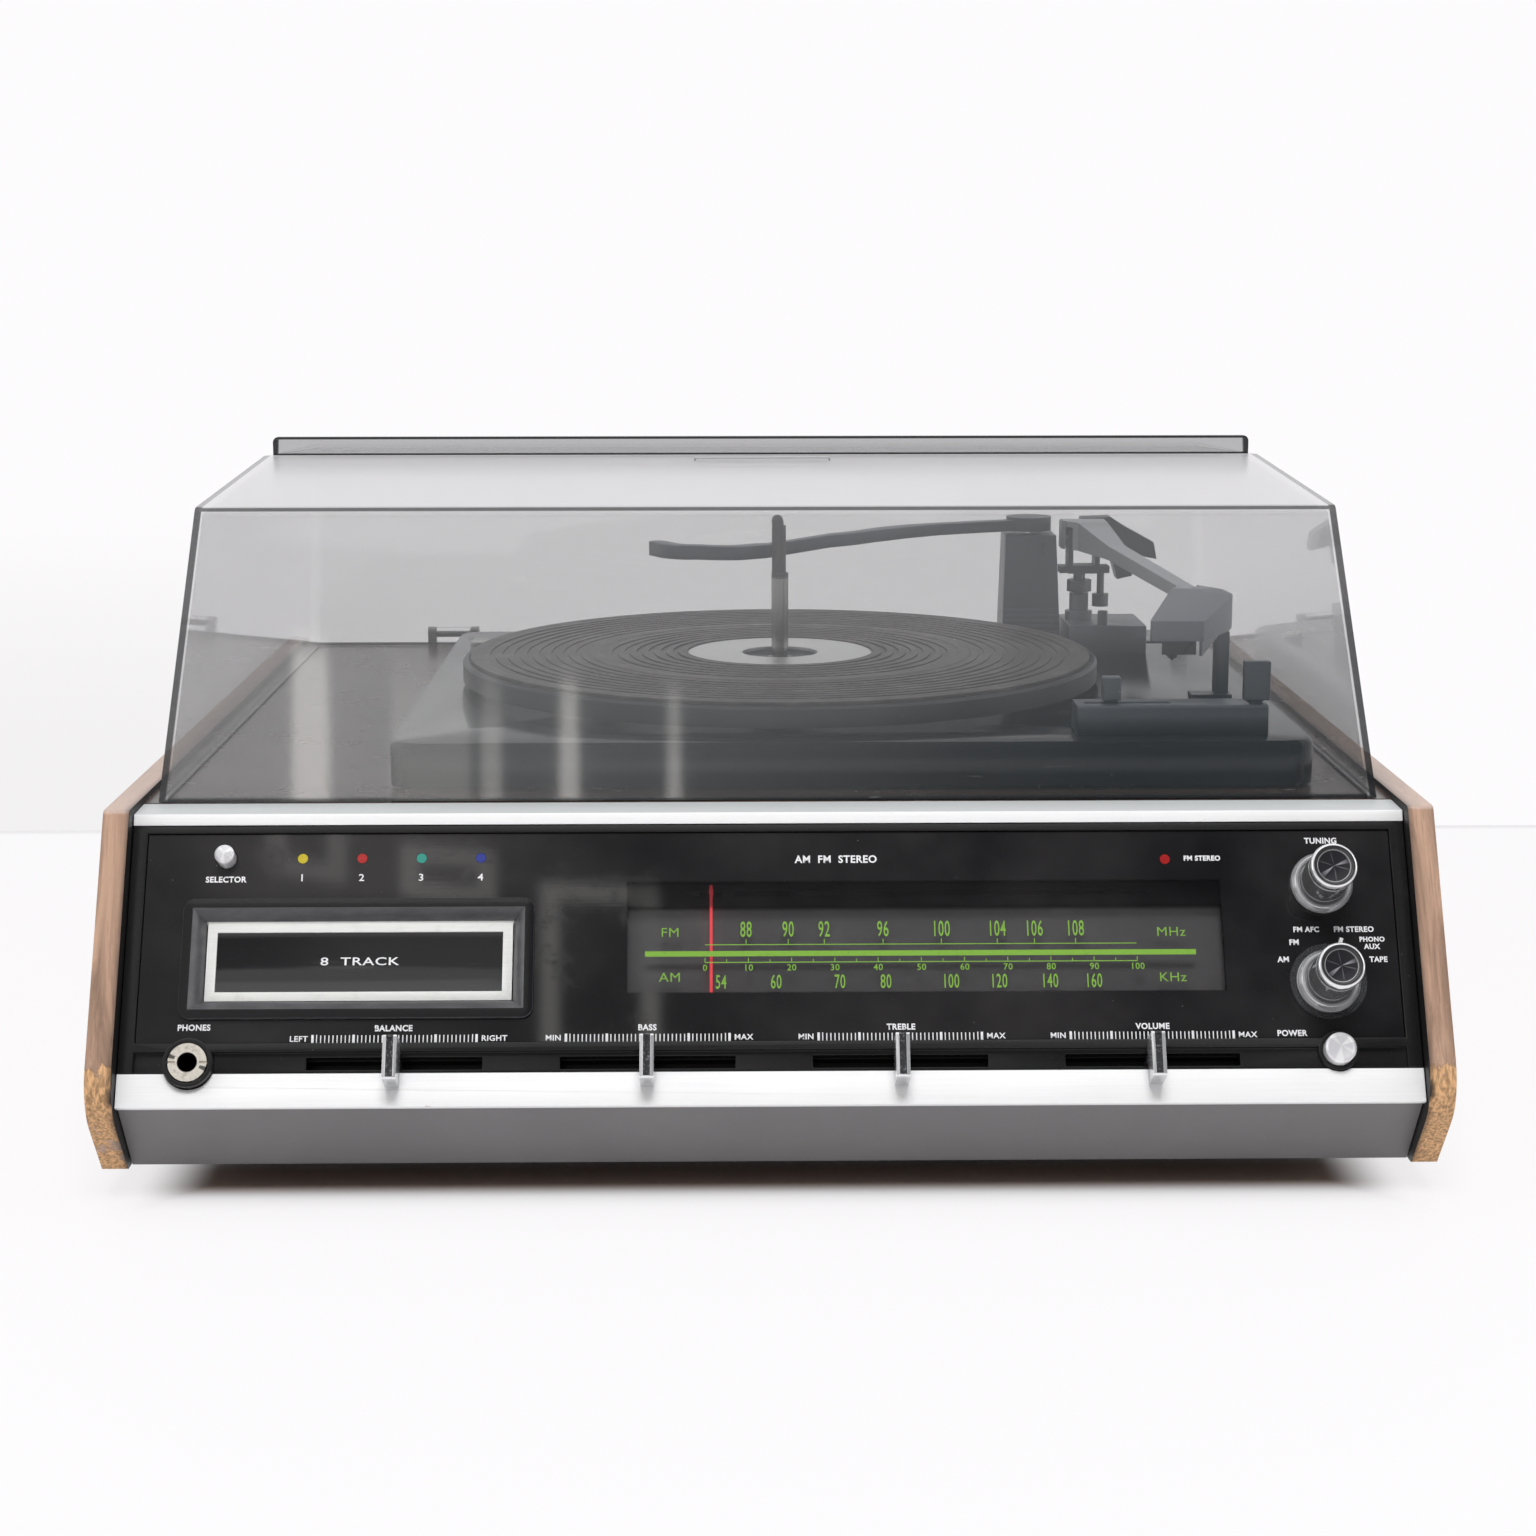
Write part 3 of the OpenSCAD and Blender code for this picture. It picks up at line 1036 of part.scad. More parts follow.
module pickup() color("#151516") translate([shell_back[0], shell_back[1], shell_z]) {
    translate([0, 0, -17.6]) linear_extrude(11)
        polygon([[-16.4, -39.5], [-3.4, -39.5], [-3.4, -25], [-8.6, -25]]);
    // Cantilever and its guard
    translate([-12, -37, -20]) cylinder(r1 = 0.4, r2 = 1.6, h = 2.6);
    span([-13.5, -38.5, -19], [-10.5, -30, -17.5]);
    // Finger lift
    span([-22, -38.6, -13.4], [-15.5, -36, -12.6]);
}
// A bent bracket at the back of the arm, with the weight hanging from it
module counterweight() color("#26282a") translate([yaw_x, arm_y + 11, arm_z]) rotate([90, 0, 0])
    translate([0, 0, -10]) linear_extrude(10) polygon([
        [2, -5], [2, 7], [15, 7.4], [21, 3.4], [34.5, -4], [36, -11.5], [26, -9.5], [25, -19],
        [18.5, -20.5], [16, -12], [12, -7]]);

// Post with a shelf that the lowered arm lies on and a lip outside it
rest_u = arm_len - 8.8;
rest_at = arm_at(rest_u, 16.6);
rest_shelf = arm_z - rest_u * sin(arm_fall) - 9;
module arm_rest() color("#161718") {
    translate([rest_at[0], rest_at[1], 0]) along_y(7) polygon([
        [-2.6, plate_z], [2.6, plate_z], [2.6, plate_z + 26.2], [-9, rest_shelf + 7],
        [-11.6, rest_shelf + 7], [-11.6, rest_shelf], [-23, rest_shelf],
        [-23, rest_shelf - 2.8], [-10, rest_shelf - 2.8], [-2.6, plate_z + 24]]);
    translate([rest_at[0] - 4, rest_at[1], plate_z + 0.8]) cube([16, 10, 1.6], center = true);
}
// Extrudes an outline of (x, z) points along Y
module along_y(d) rotate([90, 0, 0]) linear_extrude(d, center = true) children();

control_x = changer_x + 82.9;
control_y = changer_y + 13.9;
speed_x = control_x + 13.3;
start_x = control_x + 66.7;
lever_gap = 1.2;
speed_travel = [-6, 18];
module control_module() color("#18191a") difference() {
    translate([control_x, control_y, plate_z]) along_x_from(module_w) polygon(rounded(
        [[0, 0], [0.8, module_h], [module_d - 1, module_h], [module_d, 0]], [0, 1.4, 1.4, 0], 5));
    // Slot of the speed lever across the module, and of the start lever at its right end
    span([speed_x + speed_travel[0] - 4, control_y + 6, plate_z + 2],
         [speed_x + speed_travel[1] + 4, control_y + 10, plate_z + 20]);
    span([start_x - 2.6, control_y + 3.4, plate_z - 1],
         [start_x + 2.6, control_y + 15.4, plate_z + 20]);
}
module along_x_from(w) rotate([90, 0, 90]) linear_extrude(w) children();
module speed_lever() color("#141415") {
    span([speed_x - 3.3, control_y + 4.6, plate_z + module_h + lever_gap],
         [speed_x + 3.3, control_y + 11, plate_z + module_h + 9.8]);
    span([speed_x - 2.5, control_y + 7, plate_z + 2.6],
         [speed_x + 2.5, control_y + 9, plate_z + module_h + lever_gap + 1]);
}
module start_lever() color("#141415") {
    span([start_x - 4.8, control_y + 4, plate_z + module_h + lever_gap],
         [start_x + 4.8, control_y + 8, plate_z + module_h + 15.8]);
    span([start_x - 2, control_y + 4.4, plate_z - 8],
         [start_x + 2, control_y + 7, plate_z + module_h + lever_gap + 1]);
}

motor_top = plate_z - changer_t;
module platter_motor() color("#7a7f83") translate([motor_hole[0], motor_hole[1], 0]) difference() {
    union() {
        // Shaded-pole motor on three pillars under the plate
        span([-motor_half, -20, motor_top - 42], [motor_half, 20, motor_top - 22]);
        translate([0, 0, motor_top - 47]) cylinder(r = 14, h = 34);
        for (a = [90, 210, 330]) rotate(a) translate([18, 0, motor_top - 24]) cylinder(r = 2.5, h = 24);
    }
    translate([0, 0, motor_top - 45]) cylinder(r = 1.6 + fit, h = 60);
}
module motor_pulley() color("goldenrod") translate([motor_hole[0], motor_hole[1], 0]) {
    translate([0, 0, motor_top - 44]) cylinder(r = 1.6, h = 44 + changer_t + 2);
    translate([0, 0, plate_z + 1]) rotate_extrude() polygon([[0, 0], [pulley_r + 1, 0],
        [pulley_r + 1, 0.5], [pulley_r, 0.9], [pulley_r, 5], [0, 5]]);
}
module idler_wheel() color("#1a1a1a") translate([idler_at[0], idler_at[1], plate_z])
    rotate_extrude() polygon([[2 + fit, 0.8], [6, 0.8], [6, 2.8], [idler_r - 5, 2.8],
        [idler_r - 4, 2.2], [idler_r, 2.2], [idler_r, 5.2], [idler_r - 4, 5.2],
        [idler_r - 5, 4.2], [5, 4.2], [5, 5.4], [2 + fit, 5.4]]);

// ---------------------------------------------------------------- dust cover
cover_base = deck_z + gap;
cover_foot_y = deck_front + 0.6;
ridge_z = deck_z + cover_front_h + cover_ridge;
hinge_y = cover_back_y + 4.2;
hinge_z = deck_z + 4.8;
hinge_x = 150;
pin_r = 1.5;
// Side view of the cover, drawn in by t on every face but the open one
function cover_view(t, r) = let (
    foot = [cover_foot_y, cover_base],
    head = [cover_front_y, deck_z + cover_front_h],
    ridge = [cover_ridge_y, ridge_z],
    rear = [cover_back_y, ridge_z - cover_fall],
    u = unit(head - foot),
    w = unit(ridge - head),
    v = unit(rear - ridge),
    f = foot + t * [u[1], -u[0]] - u * (t > 0 ? 2 : 0),
    in_head = meet(foot + t * [u[1], -u[0]], u, head + t * [w[1], -w[0]], w),
    in_ridge = meet(head + t * [w[1], -w[0]], w, ridge + t * [v[1], -v[0]], v),
    in_rear = meet(ridge + t * [v[1], -v[0]], v, rear - [t, 0], [0, 1]))
    rounded([f, in_head, in_ridge, in_rear, [cover_back_y - t, f[1]]], [0, r, 20, r, 0]);
// Where the line through a along u meets the line through b along w
function meet(a, u, b, w) =
    a + u * ((b[0] - a[0]) * w[1] - (b[1] - a[1]) * w[0]) / (u[0] * w[1] - u[1] * w[0]);
module cover_body(t, r) intersection() {
    along_x(2 * cover_half) polygon(cover_view(t, r));
    rise = ridge_z + 20 - cover_base;
    translate([0, side_back, 0]) rotate([90, 0, 0]) linear_extrude(side_back)
        polygon([[-cover_half + t + 2 * tan(cover_draft), cover_base - 2],
            [cover_half - t - 2 * tan(cover_draft), cover_base - 2],
            [cover_half - t - rise * tan(cover_draft), cover_base + rise],
            [-cover_half + t + rise * tan(cover_draft), cover_base + rise]]);
}
// A place on the top between its front edge and the ridge, raised by h
function on_top(y, h) = let (head = [cover_front_y, deck_z + cover_front_h],
    w = unit([cover_ridge_y, ridge_z] - head)) head + w * (y - head[0]) / w[0] + h * [-w[1], w[0]];
recess_y = cover_ridge_y - 6;
module dust_cover() color("#5b6063", 0.45) difference() {
    union() {
        difference() {
            cover_body(0, 4);
            cover_body(cover_t, 2);
        }
        // Upstanding lip along the ridge
        lip_half = cover_half - (ridge_z - cover_base) * tan(cover_draft) - 4;
        translate([0, cover_ridge_y, ridge_z + lip_h / 2 - 1]) rotate([90, 0, 0])
            linear_extrude(cover_t, center = true)
                round_rect(2 * lip_half, lip_h + 2, 2.4);
        // Hinge knuckles moulded on the back pane
        for (x = [-hinge_x, hinge_x]) translate([x, hinge_y, hinge_z]) rotate([0, 90, 0]) {
            cylinder(r = 3.4, h = 16, center = true);
            translate([0, -2.2, 0]) cube([6.8, 4.6, 16], center = true);
        }
    }
    along_x(recess_w) polygon([on_top(recess_y - recess_d, -0.5), on_top(recess_y, -0.5),
        on_top(recess_y, 2), on_top(recess_y - recess_d, 2)]);
    for (x = [-hinge_x, hinge_x]) translate([x, hinge_y, hinge_z]) rotate([0, 90, 0])
        cylinder(r = pin_r + fit, h = 20, center = true);
}
module hinge_brackets() color("silver") for (x = [-hinge_x, hinge_x]) translate([x, 0, 0]) {
    for (way = [-1, 1]) translate([way * 10.4, 0, 0]) along_x(4) polygon(rounded(
        [[hinge_y - 3.2, deck_z], [hinge_y - 3.2, hinge_z + 3.4], [hinge_y + 3.4, hinge_z + 3.4],
         [hinge_y + 4.6, deck_z]], [0, 2.5, 2.5, 0], 6));
    translate([0, hinge_y, hinge_z]) rotate([0, 90, 0]) cylinder(r = pin_r, h = 24, center = true);
}

// ---------------------------------------------------------------- electrics
board_x = [inner_half - 283, inner_half - 23];
board_y = [190, 400];
board_z = base_top + 7;
module circuit_board() color("#8a6a35") {
    span([board_x[0], board_y[0], board_z], [board_x[1], board_y[1], board_z + 1.6]);
    for (x = [board_x[0] + 8, board_x[1] - 8], y = [board_y[0] + 8, board_y[1] - 8])
        translate([x, y, base_top]) cylinder(r = 4, h = board_z - base_top + 0.1);
    top = board_z + 1.5;
    // Filter capacitors, tuned-circuit cans and the output stage's finned heat sink
    translate([board_x[0], board_y[0], top]) {
        for (i = [0:2]) translate([60, 180 - i * 34, 0]) cylinder(r = 13, h = 34);
        for (i = [0:5], j = [0, 1]) translate([130 + i * 18, 25 + j * 30, 7])
            cube([10, 10, 14.1], center = true);
        span([120, 110, 0], [250, 113, 36]);
        for (i = [0:12]) span([120 + i * 10, 112, 0], [122 + i * 10, 140, 36]);
        for (i = [0:9]) translate([20 + i * 9, 35, 0]) cylinder(r = 2.6, h = 9);
    }
}
module power_transformer() color("#50555a")
translate([53 - inner_half, back_y - 54, base_top]) {
    // Laminated core, its coil and two feet
    span([-30, -16, 0], [30, 16, 50]);
    span([-20, -27, 9], [20, 27, 41]);
    span([-40, -12, 0], [40, 12, 2]);
}
module rear_fittings() {
    // Phenolic strip with four sockets and a row of screw terminals
    color("#b98a4a") translate([socket_x, back_y, socket_z]) {
        difference() {
            span([-44, 0, -15], [44, 1.5, 15]);
            for (x = [-32, -12]) translate([x, 3, 0]) rotate([90, 0, 0]) cylinder(r = 1.7, h = 5);
        }
        for (x = [-32, -12]) translate([x, 1.4, 0]) rotate([-90, 0, 0]) difference() {
            cylinder(r = 4.1, h = 7.2);
            translate([0, 0, -1]) cylinder(r = 1.7, h = 12);
        }
        for (x = [10, 22, 34]) translate([x, 1.4, 0]) rotate([-90, 0, 0]) cylinder(r = 3, h = 4);
    }
    // Gland of the mains lead
    color("#1a1a1a") translate([gland_x, back_y, gland_z]) rotate([-90, 0, 0]) rotate_extrude()
        polygon([[3.4, -back_t - 2], [6, -back_t - 2], [6, 0], [8.5, 0], [8.5, 1.5], [6.5, 5],
            [3.4, 6]]);
}

place() left_side();
place() right_side();
place() base_board();
place() back_panel();
place() top_deck();
place() front_frame();
place() dial_face();
place() dial_plate();
place() trim_strips();
place() kick_panel();
place() rubber_feet();
place() dust_cover();
place() hinge_brackets();
place() changer_plate();
place() changer_springs();
place() platter();
place() platter_mat();
place() centre_disc();
place() spindle();
place() overarm_post();
place() overarm_shaft();
place() overarm();
place() arm_pedestal();
place() arm_gimbal();
place() tone_arm();
place() head_shell();
place() pickup();
place() counterweight();
place() arm_rest();
place() control_module();
place() speed_lever();
place() start_lever();
place() platter_motor();
place() motor_pulley();
place() idler_wheel();
place() tape_bezel();
place() tape_door();
place() tape_chassis();
place() flywheel();
place() tape_motor();
place() tape_pulley();
place() drive_belt();
place() tape_head();
place() selector_button();
place() panel_lamps();
place() tuning_knob();
place() dial_pointer();
place() tuning_drum();
place() function_knob();
place() power_button();
place() balance_slider();
place() bass_slider();
place() treble_slider();
place() volume_slider();
place() panel_controls();
place() headphone_jack();
place() circuit_board();
place() power_transformer();
place() rear_fittings();
place() screws();
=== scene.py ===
"""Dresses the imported 8-track stereo centre for its photograph.

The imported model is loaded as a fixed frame. Each operator finishes one group of its parts or
prints what is lettered on them, and the stage operator sets the floor, the light and the camera.
"""

import json
from functools import cached_property
from math import cos, pi, radians, sin, tan

import bmesh
import bpy
from mathutils import Matrix, Vector


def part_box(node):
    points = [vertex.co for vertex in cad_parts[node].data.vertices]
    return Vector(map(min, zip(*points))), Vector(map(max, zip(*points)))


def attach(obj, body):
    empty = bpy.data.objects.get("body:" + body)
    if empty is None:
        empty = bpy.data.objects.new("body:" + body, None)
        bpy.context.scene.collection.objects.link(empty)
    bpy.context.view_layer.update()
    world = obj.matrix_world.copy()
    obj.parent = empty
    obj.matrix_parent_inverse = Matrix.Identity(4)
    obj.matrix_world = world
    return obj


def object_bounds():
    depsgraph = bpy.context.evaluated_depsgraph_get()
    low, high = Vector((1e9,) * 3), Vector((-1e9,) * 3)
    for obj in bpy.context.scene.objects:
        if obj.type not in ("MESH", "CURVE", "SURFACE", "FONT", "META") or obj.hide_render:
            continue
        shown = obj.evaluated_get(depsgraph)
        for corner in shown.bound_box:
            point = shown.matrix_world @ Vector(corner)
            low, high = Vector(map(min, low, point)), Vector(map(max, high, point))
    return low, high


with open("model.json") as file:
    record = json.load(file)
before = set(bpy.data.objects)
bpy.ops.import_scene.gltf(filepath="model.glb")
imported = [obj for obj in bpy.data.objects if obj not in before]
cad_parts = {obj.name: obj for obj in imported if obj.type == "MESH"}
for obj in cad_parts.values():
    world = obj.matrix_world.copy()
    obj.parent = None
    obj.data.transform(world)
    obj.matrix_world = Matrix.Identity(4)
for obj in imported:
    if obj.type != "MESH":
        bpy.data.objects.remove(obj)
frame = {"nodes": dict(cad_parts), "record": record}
cad_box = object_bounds()

bl_info = {
    "name": "Stereo Centre Dresser",
    "version": (1, 0, 0),
    "blender": (4, 5, 0),
    "location": "View3D > Sidebar > Stereo",
    "description": "Finishes, letters and lights an 8-track stereo centre on its packed frame",
    "category": "Object",
}

MM = 0.001
JOINTS = {joint["name"]: joint for joint in frame["record"]["behaviour"]["joints"]}
JACK = next(Vector(mount["pos_m"]) for mount in frame["record"]["mounts"]
            if mount["name"] == "headphone_socket")

# Directions of the sloping panel: out towards the user, and up the slope
OUT = -Vector(JOINTS["power_push"]["axis"])
UP = Vector((0, OUT.z, -OUT.y))

# Places on the panel in millimetres: x across, s up the slope, and out of it
TUNING_X, TUNING_S = 192.3, 65.6
SLIDER_X = (-129, -42.5, 44, 130.5)
LAMP_X = (-163.2, -142.5, -121.8, -101.1)
DOOR_WORD_OUT = -5.36
FACE_DROP = 1.2
INK_OUT = 0.04 - FACE_DROP
PANEL_FOOT = (Vector(JOINTS["tuning_turn"]["pos_m"]) - UP * TUNING_S * MM
              - Vector((TUNING_X * MM, 0, 0)))

# The knobs' height and the radius of their turned face. The function knob's clear disc starts at
# DISC_EDGE, and its index mark leans to the right of straight up and ends at INDEX_EDGE.
KNOB_HEIGHT, KNOB_FACE = 22.4 * MM, 5.8 * MM
DISC_EDGE, INDEX_EDGE = 10.9 * MM, 16.3 * MM
INDEX_LEAN, INDEX_HALF = radians(20), radians(4)

# Painted highlights on a turned face, standing in for its shine: each sector's angle and half width
# in degrees, and its strength
KNOB_PAINTED_GLINTS = ((20, 11, 0.8), (-14, 5, 0.3), (-142, 12, 0.8), (-84, 5, 0.25), (100, 5, 0.15),
             (160, 5, 0.2))
BUTTON_PAINTED_GLINTS = ((30, 20, 1), (-100, 22, 0.8), (130, 16, 0.7), (-30, 12, 0.5))

WHITE = (0.985, 0.972, 0.985)
FLOOR_REACH = 3.5
CAPITAL = 0.73  # height of the font's capitals as a share of its size


def on_panel(x, s, out):
    """A place on the panel: x across, s up the slope and out of it, in millimetres."""
    return PANEL_FOOT + Vector((x * MM, 0, 0)) + UP * s * MM + OUT * out * MM


def shade(tone, factor):
    """A darker or lighter version of a colour."""
    return tuple(min(c * factor, 1) for c in tone)


def paler(tone, extra):
    """A colour with some white added."""
    return tuple(min(c + extra, 1) for c in tone)


def grey(value):
    return (value, value, value)


# ---- sizes and colours

def a_colour(name, description, default):
    return bpy.props.FloatVectorProperty(name=name, description=description, default=default,
                                         subtype="COLOR", size=3, min=0, max=1)


def a_length(name, description, default):
    return bpy.props.FloatProperty(name=name, description=description, default=default,
                                   subtype="DISTANCE", unit="LENGTH")


def an_angle(name, description, degrees):
    return bpy.props.FloatProperty(name=name, description=description,
                                   default=radians(degrees), subtype="ANGLE")


class CabinetSettings(bpy.types.PropertyGroup):
    walnut: a_colour("Walnut", "Middle tone of the veneer on the sides", (0.43, 0.275, 0.195))
    chipboard: a_colour(
        "Bare board", "Board that shows where the veneer is worn off", (0.66, 0.39, 0.2))
    kick_grey: a_colour(
        "Kick panel", "Grey paint of the panel under the lower strip", (0.178, 0.172, 0.175))
    wear_height: a_length("Wear height", "Height up to which the front edges are worn bare", 0.052)


class PanelSettings(bpy.types.PropertyGroup):
    ink_white: a_colour("White ink", "Ink of the words on the panel", (0.86, 0.86, 0.88))
    ink_green: a_colour("Green ink", "Ink of the dial scale", (0.21, 0.42, 0.055))
    word_height: a_length("Word height", "Height of the capitals in the small words", 0.0021)
    number_height: a_length("Number height", "Height of the station numbers", 0.0047)
    scale_start: a_length("Scale start", "Place of 0 on the dial's middle scale", -0.0229)
    scale_length: a_length("Scale length", "Distance from 0 to 100 on the middle scale", 0.1496)


class CoverSettings(bpy.types.PropertyGroup):
    smoke: a_colour("Smoke", "Tint of the cover's plastic", (0.036, 0.043, 0.047))
    density: bpy.props.FloatProperty(
        name="Density", description="Share of the light that each face of a wall stops",
        subtype="FACTOR", min=0, max=1, default=0.145)
    draft: an_angle("Draft", "Lean of the cover's ends", 2.95)
    lip: a_length("Lip", "Height of the lip above the cover's ridge", 0.008)
    ridge_rise: a_length(
        "Ridge rise", "Height of the ridge above the front pane's top edge", 0.0068)
    recess_y: a_length("Recess", "Place of the bare recess's back edge on the top", 0.0536)


class StageSettings(bpy.types.PropertyGroup):
    camera_place: bpy.props.FloatVectorProperty(
        name="Camera", description="Place of the camera",
        subtype="TRANSLATION", unit="LENGTH", size=3, default=(-0.01385, -1.12125, 0.32933))
    camera_pitch: an_angle("Pitch", "How far the camera looks down", 11.069)
    camera_yaw: an_angle("Yaw", "How far the camera looks to the right", 0.795)
    camera_roll: an_angle("Roll", "How far the camera is rolled", -0.048)
    lens: bpy.props.FloatProperty(
        name="Lens", description="Focal length on a sensor 36 mm wide",
        subtype="DISTANCE_CAMERA", unit="CAMERA", default=64.459)
    wall_y: a_length("Wall", "Where the floor meets the wall behind the object", 0.387)


# ---- shader expressions

def maths(operation, swapped=False):
    """A method of Wire that adds one Math node to an expression."""
    def method(self, *others):
        values = (*others, self) if swapped else (self, *others)
        return self.finish.node("ShaderNodeMath", {"operation": operation}, values)
    return method


class Wire:
    """A shader value that can stand in an expression, which then adds its Math nodes."""

    def __init__(self, finish, socket):
        self.finish = finish
        self.socket = socket

    __add__ = maths("ADD")
    __radd__ = maths("ADD", True)
    __sub__ = maths("SUBTRACT")
    __rsub__ = maths("SUBTRACT", True)
    __mul__ = maths("MULTIPLY")
    __rmul__ = maths("MULTIPLY", True)
    __truediv__ = maths("DIVIDE")
    __pow__ = maths("POWER")
    __abs__ = maths("ABSOLUTE")
    sine = maths("SINE")
    least = maths("MINIMUM")
    most = maths("MAXIMUM")

    def __neg__(self):
        return self * -1

    def step(self, low, high):
        """0 below low, 1 above high, and smooth between them; high may be the lower one."""
        return self.finish.node(
            "ShaderNodeMapRange", {"interpolation_type": "SMOOTHSTEP", "clamp": True},
            {"Value": self, "From Min": min(low, high), "From Max": max(low, high),
             "To Min": 0 if high > low else 1, "To Max": 1 if high > low else 0})


class Nodes:
    """A node tree that is filled by expressions and by one method for every other node."""

    def __init__(self, tree):
        self.tree = tree

    def node(self, kind, settings, values, output=0):
        """Adds a node of any kind: its settings first, then the values or links of its sockets."""
        made = self.tree.nodes.new(kind)
        for key, value in settings.items():
            setattr(made, key, value)
        pairs = values.items() if isinstance(values, dict) else enumerate(values)
        for key, value in pairs:
            self.feed(made.inputs[key], value)
        return Wire(self, made.outputs[output])

    def vector(self, operation, *values, output="Vector"):
        return self.node("ShaderNodeVectorMath", {"operation": operation}, values, output)

    def feed(self, socket, value):
        if isinstance(value, Wire):
            self.tree.links.new(value.socket, socket)
        elif hasattr(value, "__len__") and len(value) == 3 and socket.type == "RGBA":
            socket.default_value = (*value, 1)
        else:
            socket.default_value = value

    def split(self, vector):
        made = self.tree.nodes.new("ShaderNodeSeparateXYZ")
        self.tree.links.new(vector.socket, made.inputs[0])
        return [Wire(self, out) for out in made.outputs]

    def colour(self, first, second, share):
        return self.node("ShaderNodeMix", {"data_type": "RGBA"},
                         {0: share, 6: first, 7: second}, 2)

    def layers(self, tint, *coats):
        """Colours laid over each other, each given with the share that it covers."""
        for coat, share in coats:
            tint = self.colour(tint, coat, share)
        return tint

    def seen_by(self, first, *others):
        """1 for the given kinds of light ray, and 0 for all others."""
        seen = self.node("ShaderNodeLightPath", {}, {}, f"Is {first} Ray")
        for kind in others:
            seen = seen.most(self.node("ShaderNodeLightPath", {}, {}, f"Is {kind} Ray"))
        return seen


class Finish(Nodes):
    """One procedural material, built as expressions on places in the frame."""

    def __init__(self, name, rough=0.5, metal=0, coat=0):
        self.material = bpy.data.materials.new(name)
        self.material.use_nodes = True
        super().__init__(self.material.node_tree)
        self.shader = self.tree.nodes["Principled BSDF"]
        self.set(Roughness=rough, Metallic=metal, Coat_Weight=coat, Coat_Roughness=0.06)
        self.place = self.node("ShaderNodeTexCoord", {}, {}, "Object")
        self.x, self.y, self.z = self.split(self.place)

    def set(self, **inputs):
        for key, value in inputs.items():
            self.feed(self.shader.inputs[key.replace("_", " ")], value)
        return self

    def paint(self, tint, *coats, **inputs):
        """Lays coats over a base colour, and sets other inputs of the shader."""
        return self.set(Base_Color=self.layers(tint, *coats), **inputs)

    def on(self, *nodes):
        """Gives CAD nodes this finish."""
        for name in nodes:
            data = frame["nodes"][name].data
            data.materials.clear()
            data.materials.append(self.material)

    def normal(self):
        return self.split(self.node("ShaderNodeTexCoord", {}, {}, "Normal"))

    def along(self, direction, origin):
        """Distance of each point from the origin along a direction, in metres."""
        moved = self.vector("SUBTRACT", self.place, tuple(origin))
        return self.vector("DOT_PRODUCT", moved, tuple(direction), output="Value")

    @cached_property
    def s(self):
        """Distance up the panel's slope, in metres."""
        return self.along(UP, PANEL_FOOT)

    @cached_property
    def out(self):
        """Distance out of the panel, in metres."""
        return self.along(OUT, PANEL_FOOT)

    def around(self, centre):
        """Distance from an axis out of the panel, height along it, and way round: right, up."""
        height = self.along(OUT, centre)
        right = self.along((1, 0, 0), centre)
        rise = self.along(OUT.cross((1, 0, 0)), centre)
        ring = (right * right + rise * rise) ** 0.5
        return ring, height, right / ring.most(0.00001), rise / ring.most(0.00001)

    def grain(self, size, detail=4, rough=0.55, stretch=(1, 1, 1), warp=0, axes=None):
        """Noise from 0 to 1 whose spots are about size metres, drawn out by stretch along axes."""
        place = self.node("ShaderNodeCombineXYZ", {}, axes) if axes else self.place
        scale = self.vector("MULTIPLY", place, tuple(1 / (size * way) for way in stretch))
        return self.node("ShaderNodeTexNoise", {},
                         {"Vector": scale, "Scale": 1, "Detail": detail, "Roughness": rough,
                          "Distortion": warp}, "Fac")

    def bump(self, height, depth):
        """Normals of a relief that is depth metres high."""
        return self.set(Normal=self.node("ShaderNodeBump", {},
                                         {"Distance": depth, "Height": height}, "Normal"))

    def pebble(self, size, depth):
        """A fine even relief."""
        return self.bump(self.grain(size, 2), depth)

    def blend(self, share, second):
        """Shows a share of a second shader in place of this one."""
        mix = self.tree.nodes.new("ShaderNodeMixShader")
        self.feed(mix.inputs[0], share)
        self.tree.links.new(self.shader.outputs[0], mix.inputs[1])
        self.tree.links.new(second.outputs[0], mix.inputs[2])
        self.tree.links.new(mix.outputs[0], self.tree.nodes["Material Output"].inputs["Surface"])
        return self


def inside(value, low, high, soft=0.0002):
    """1 where a value lies between two limits, with a soft edge."""
    return value.step(low - soft, low + soft) * value.step(high + soft, high - soft)


def rays(right, rise, sectors):
    """Painted highlights: bright narrow sectors of a spun face, each given as its angle, half width
    and strength.
    """
    total = 0
    for angle, half, strength in sectors:
        way = right * cos(radians(angle)) + rise * sin(radians(angle))
        edge = cos(radians(half))
        total = way.step(edge, edge + (1 - edge) * 0.9) * strength + total
    return total.least(1)


# ---- finishes

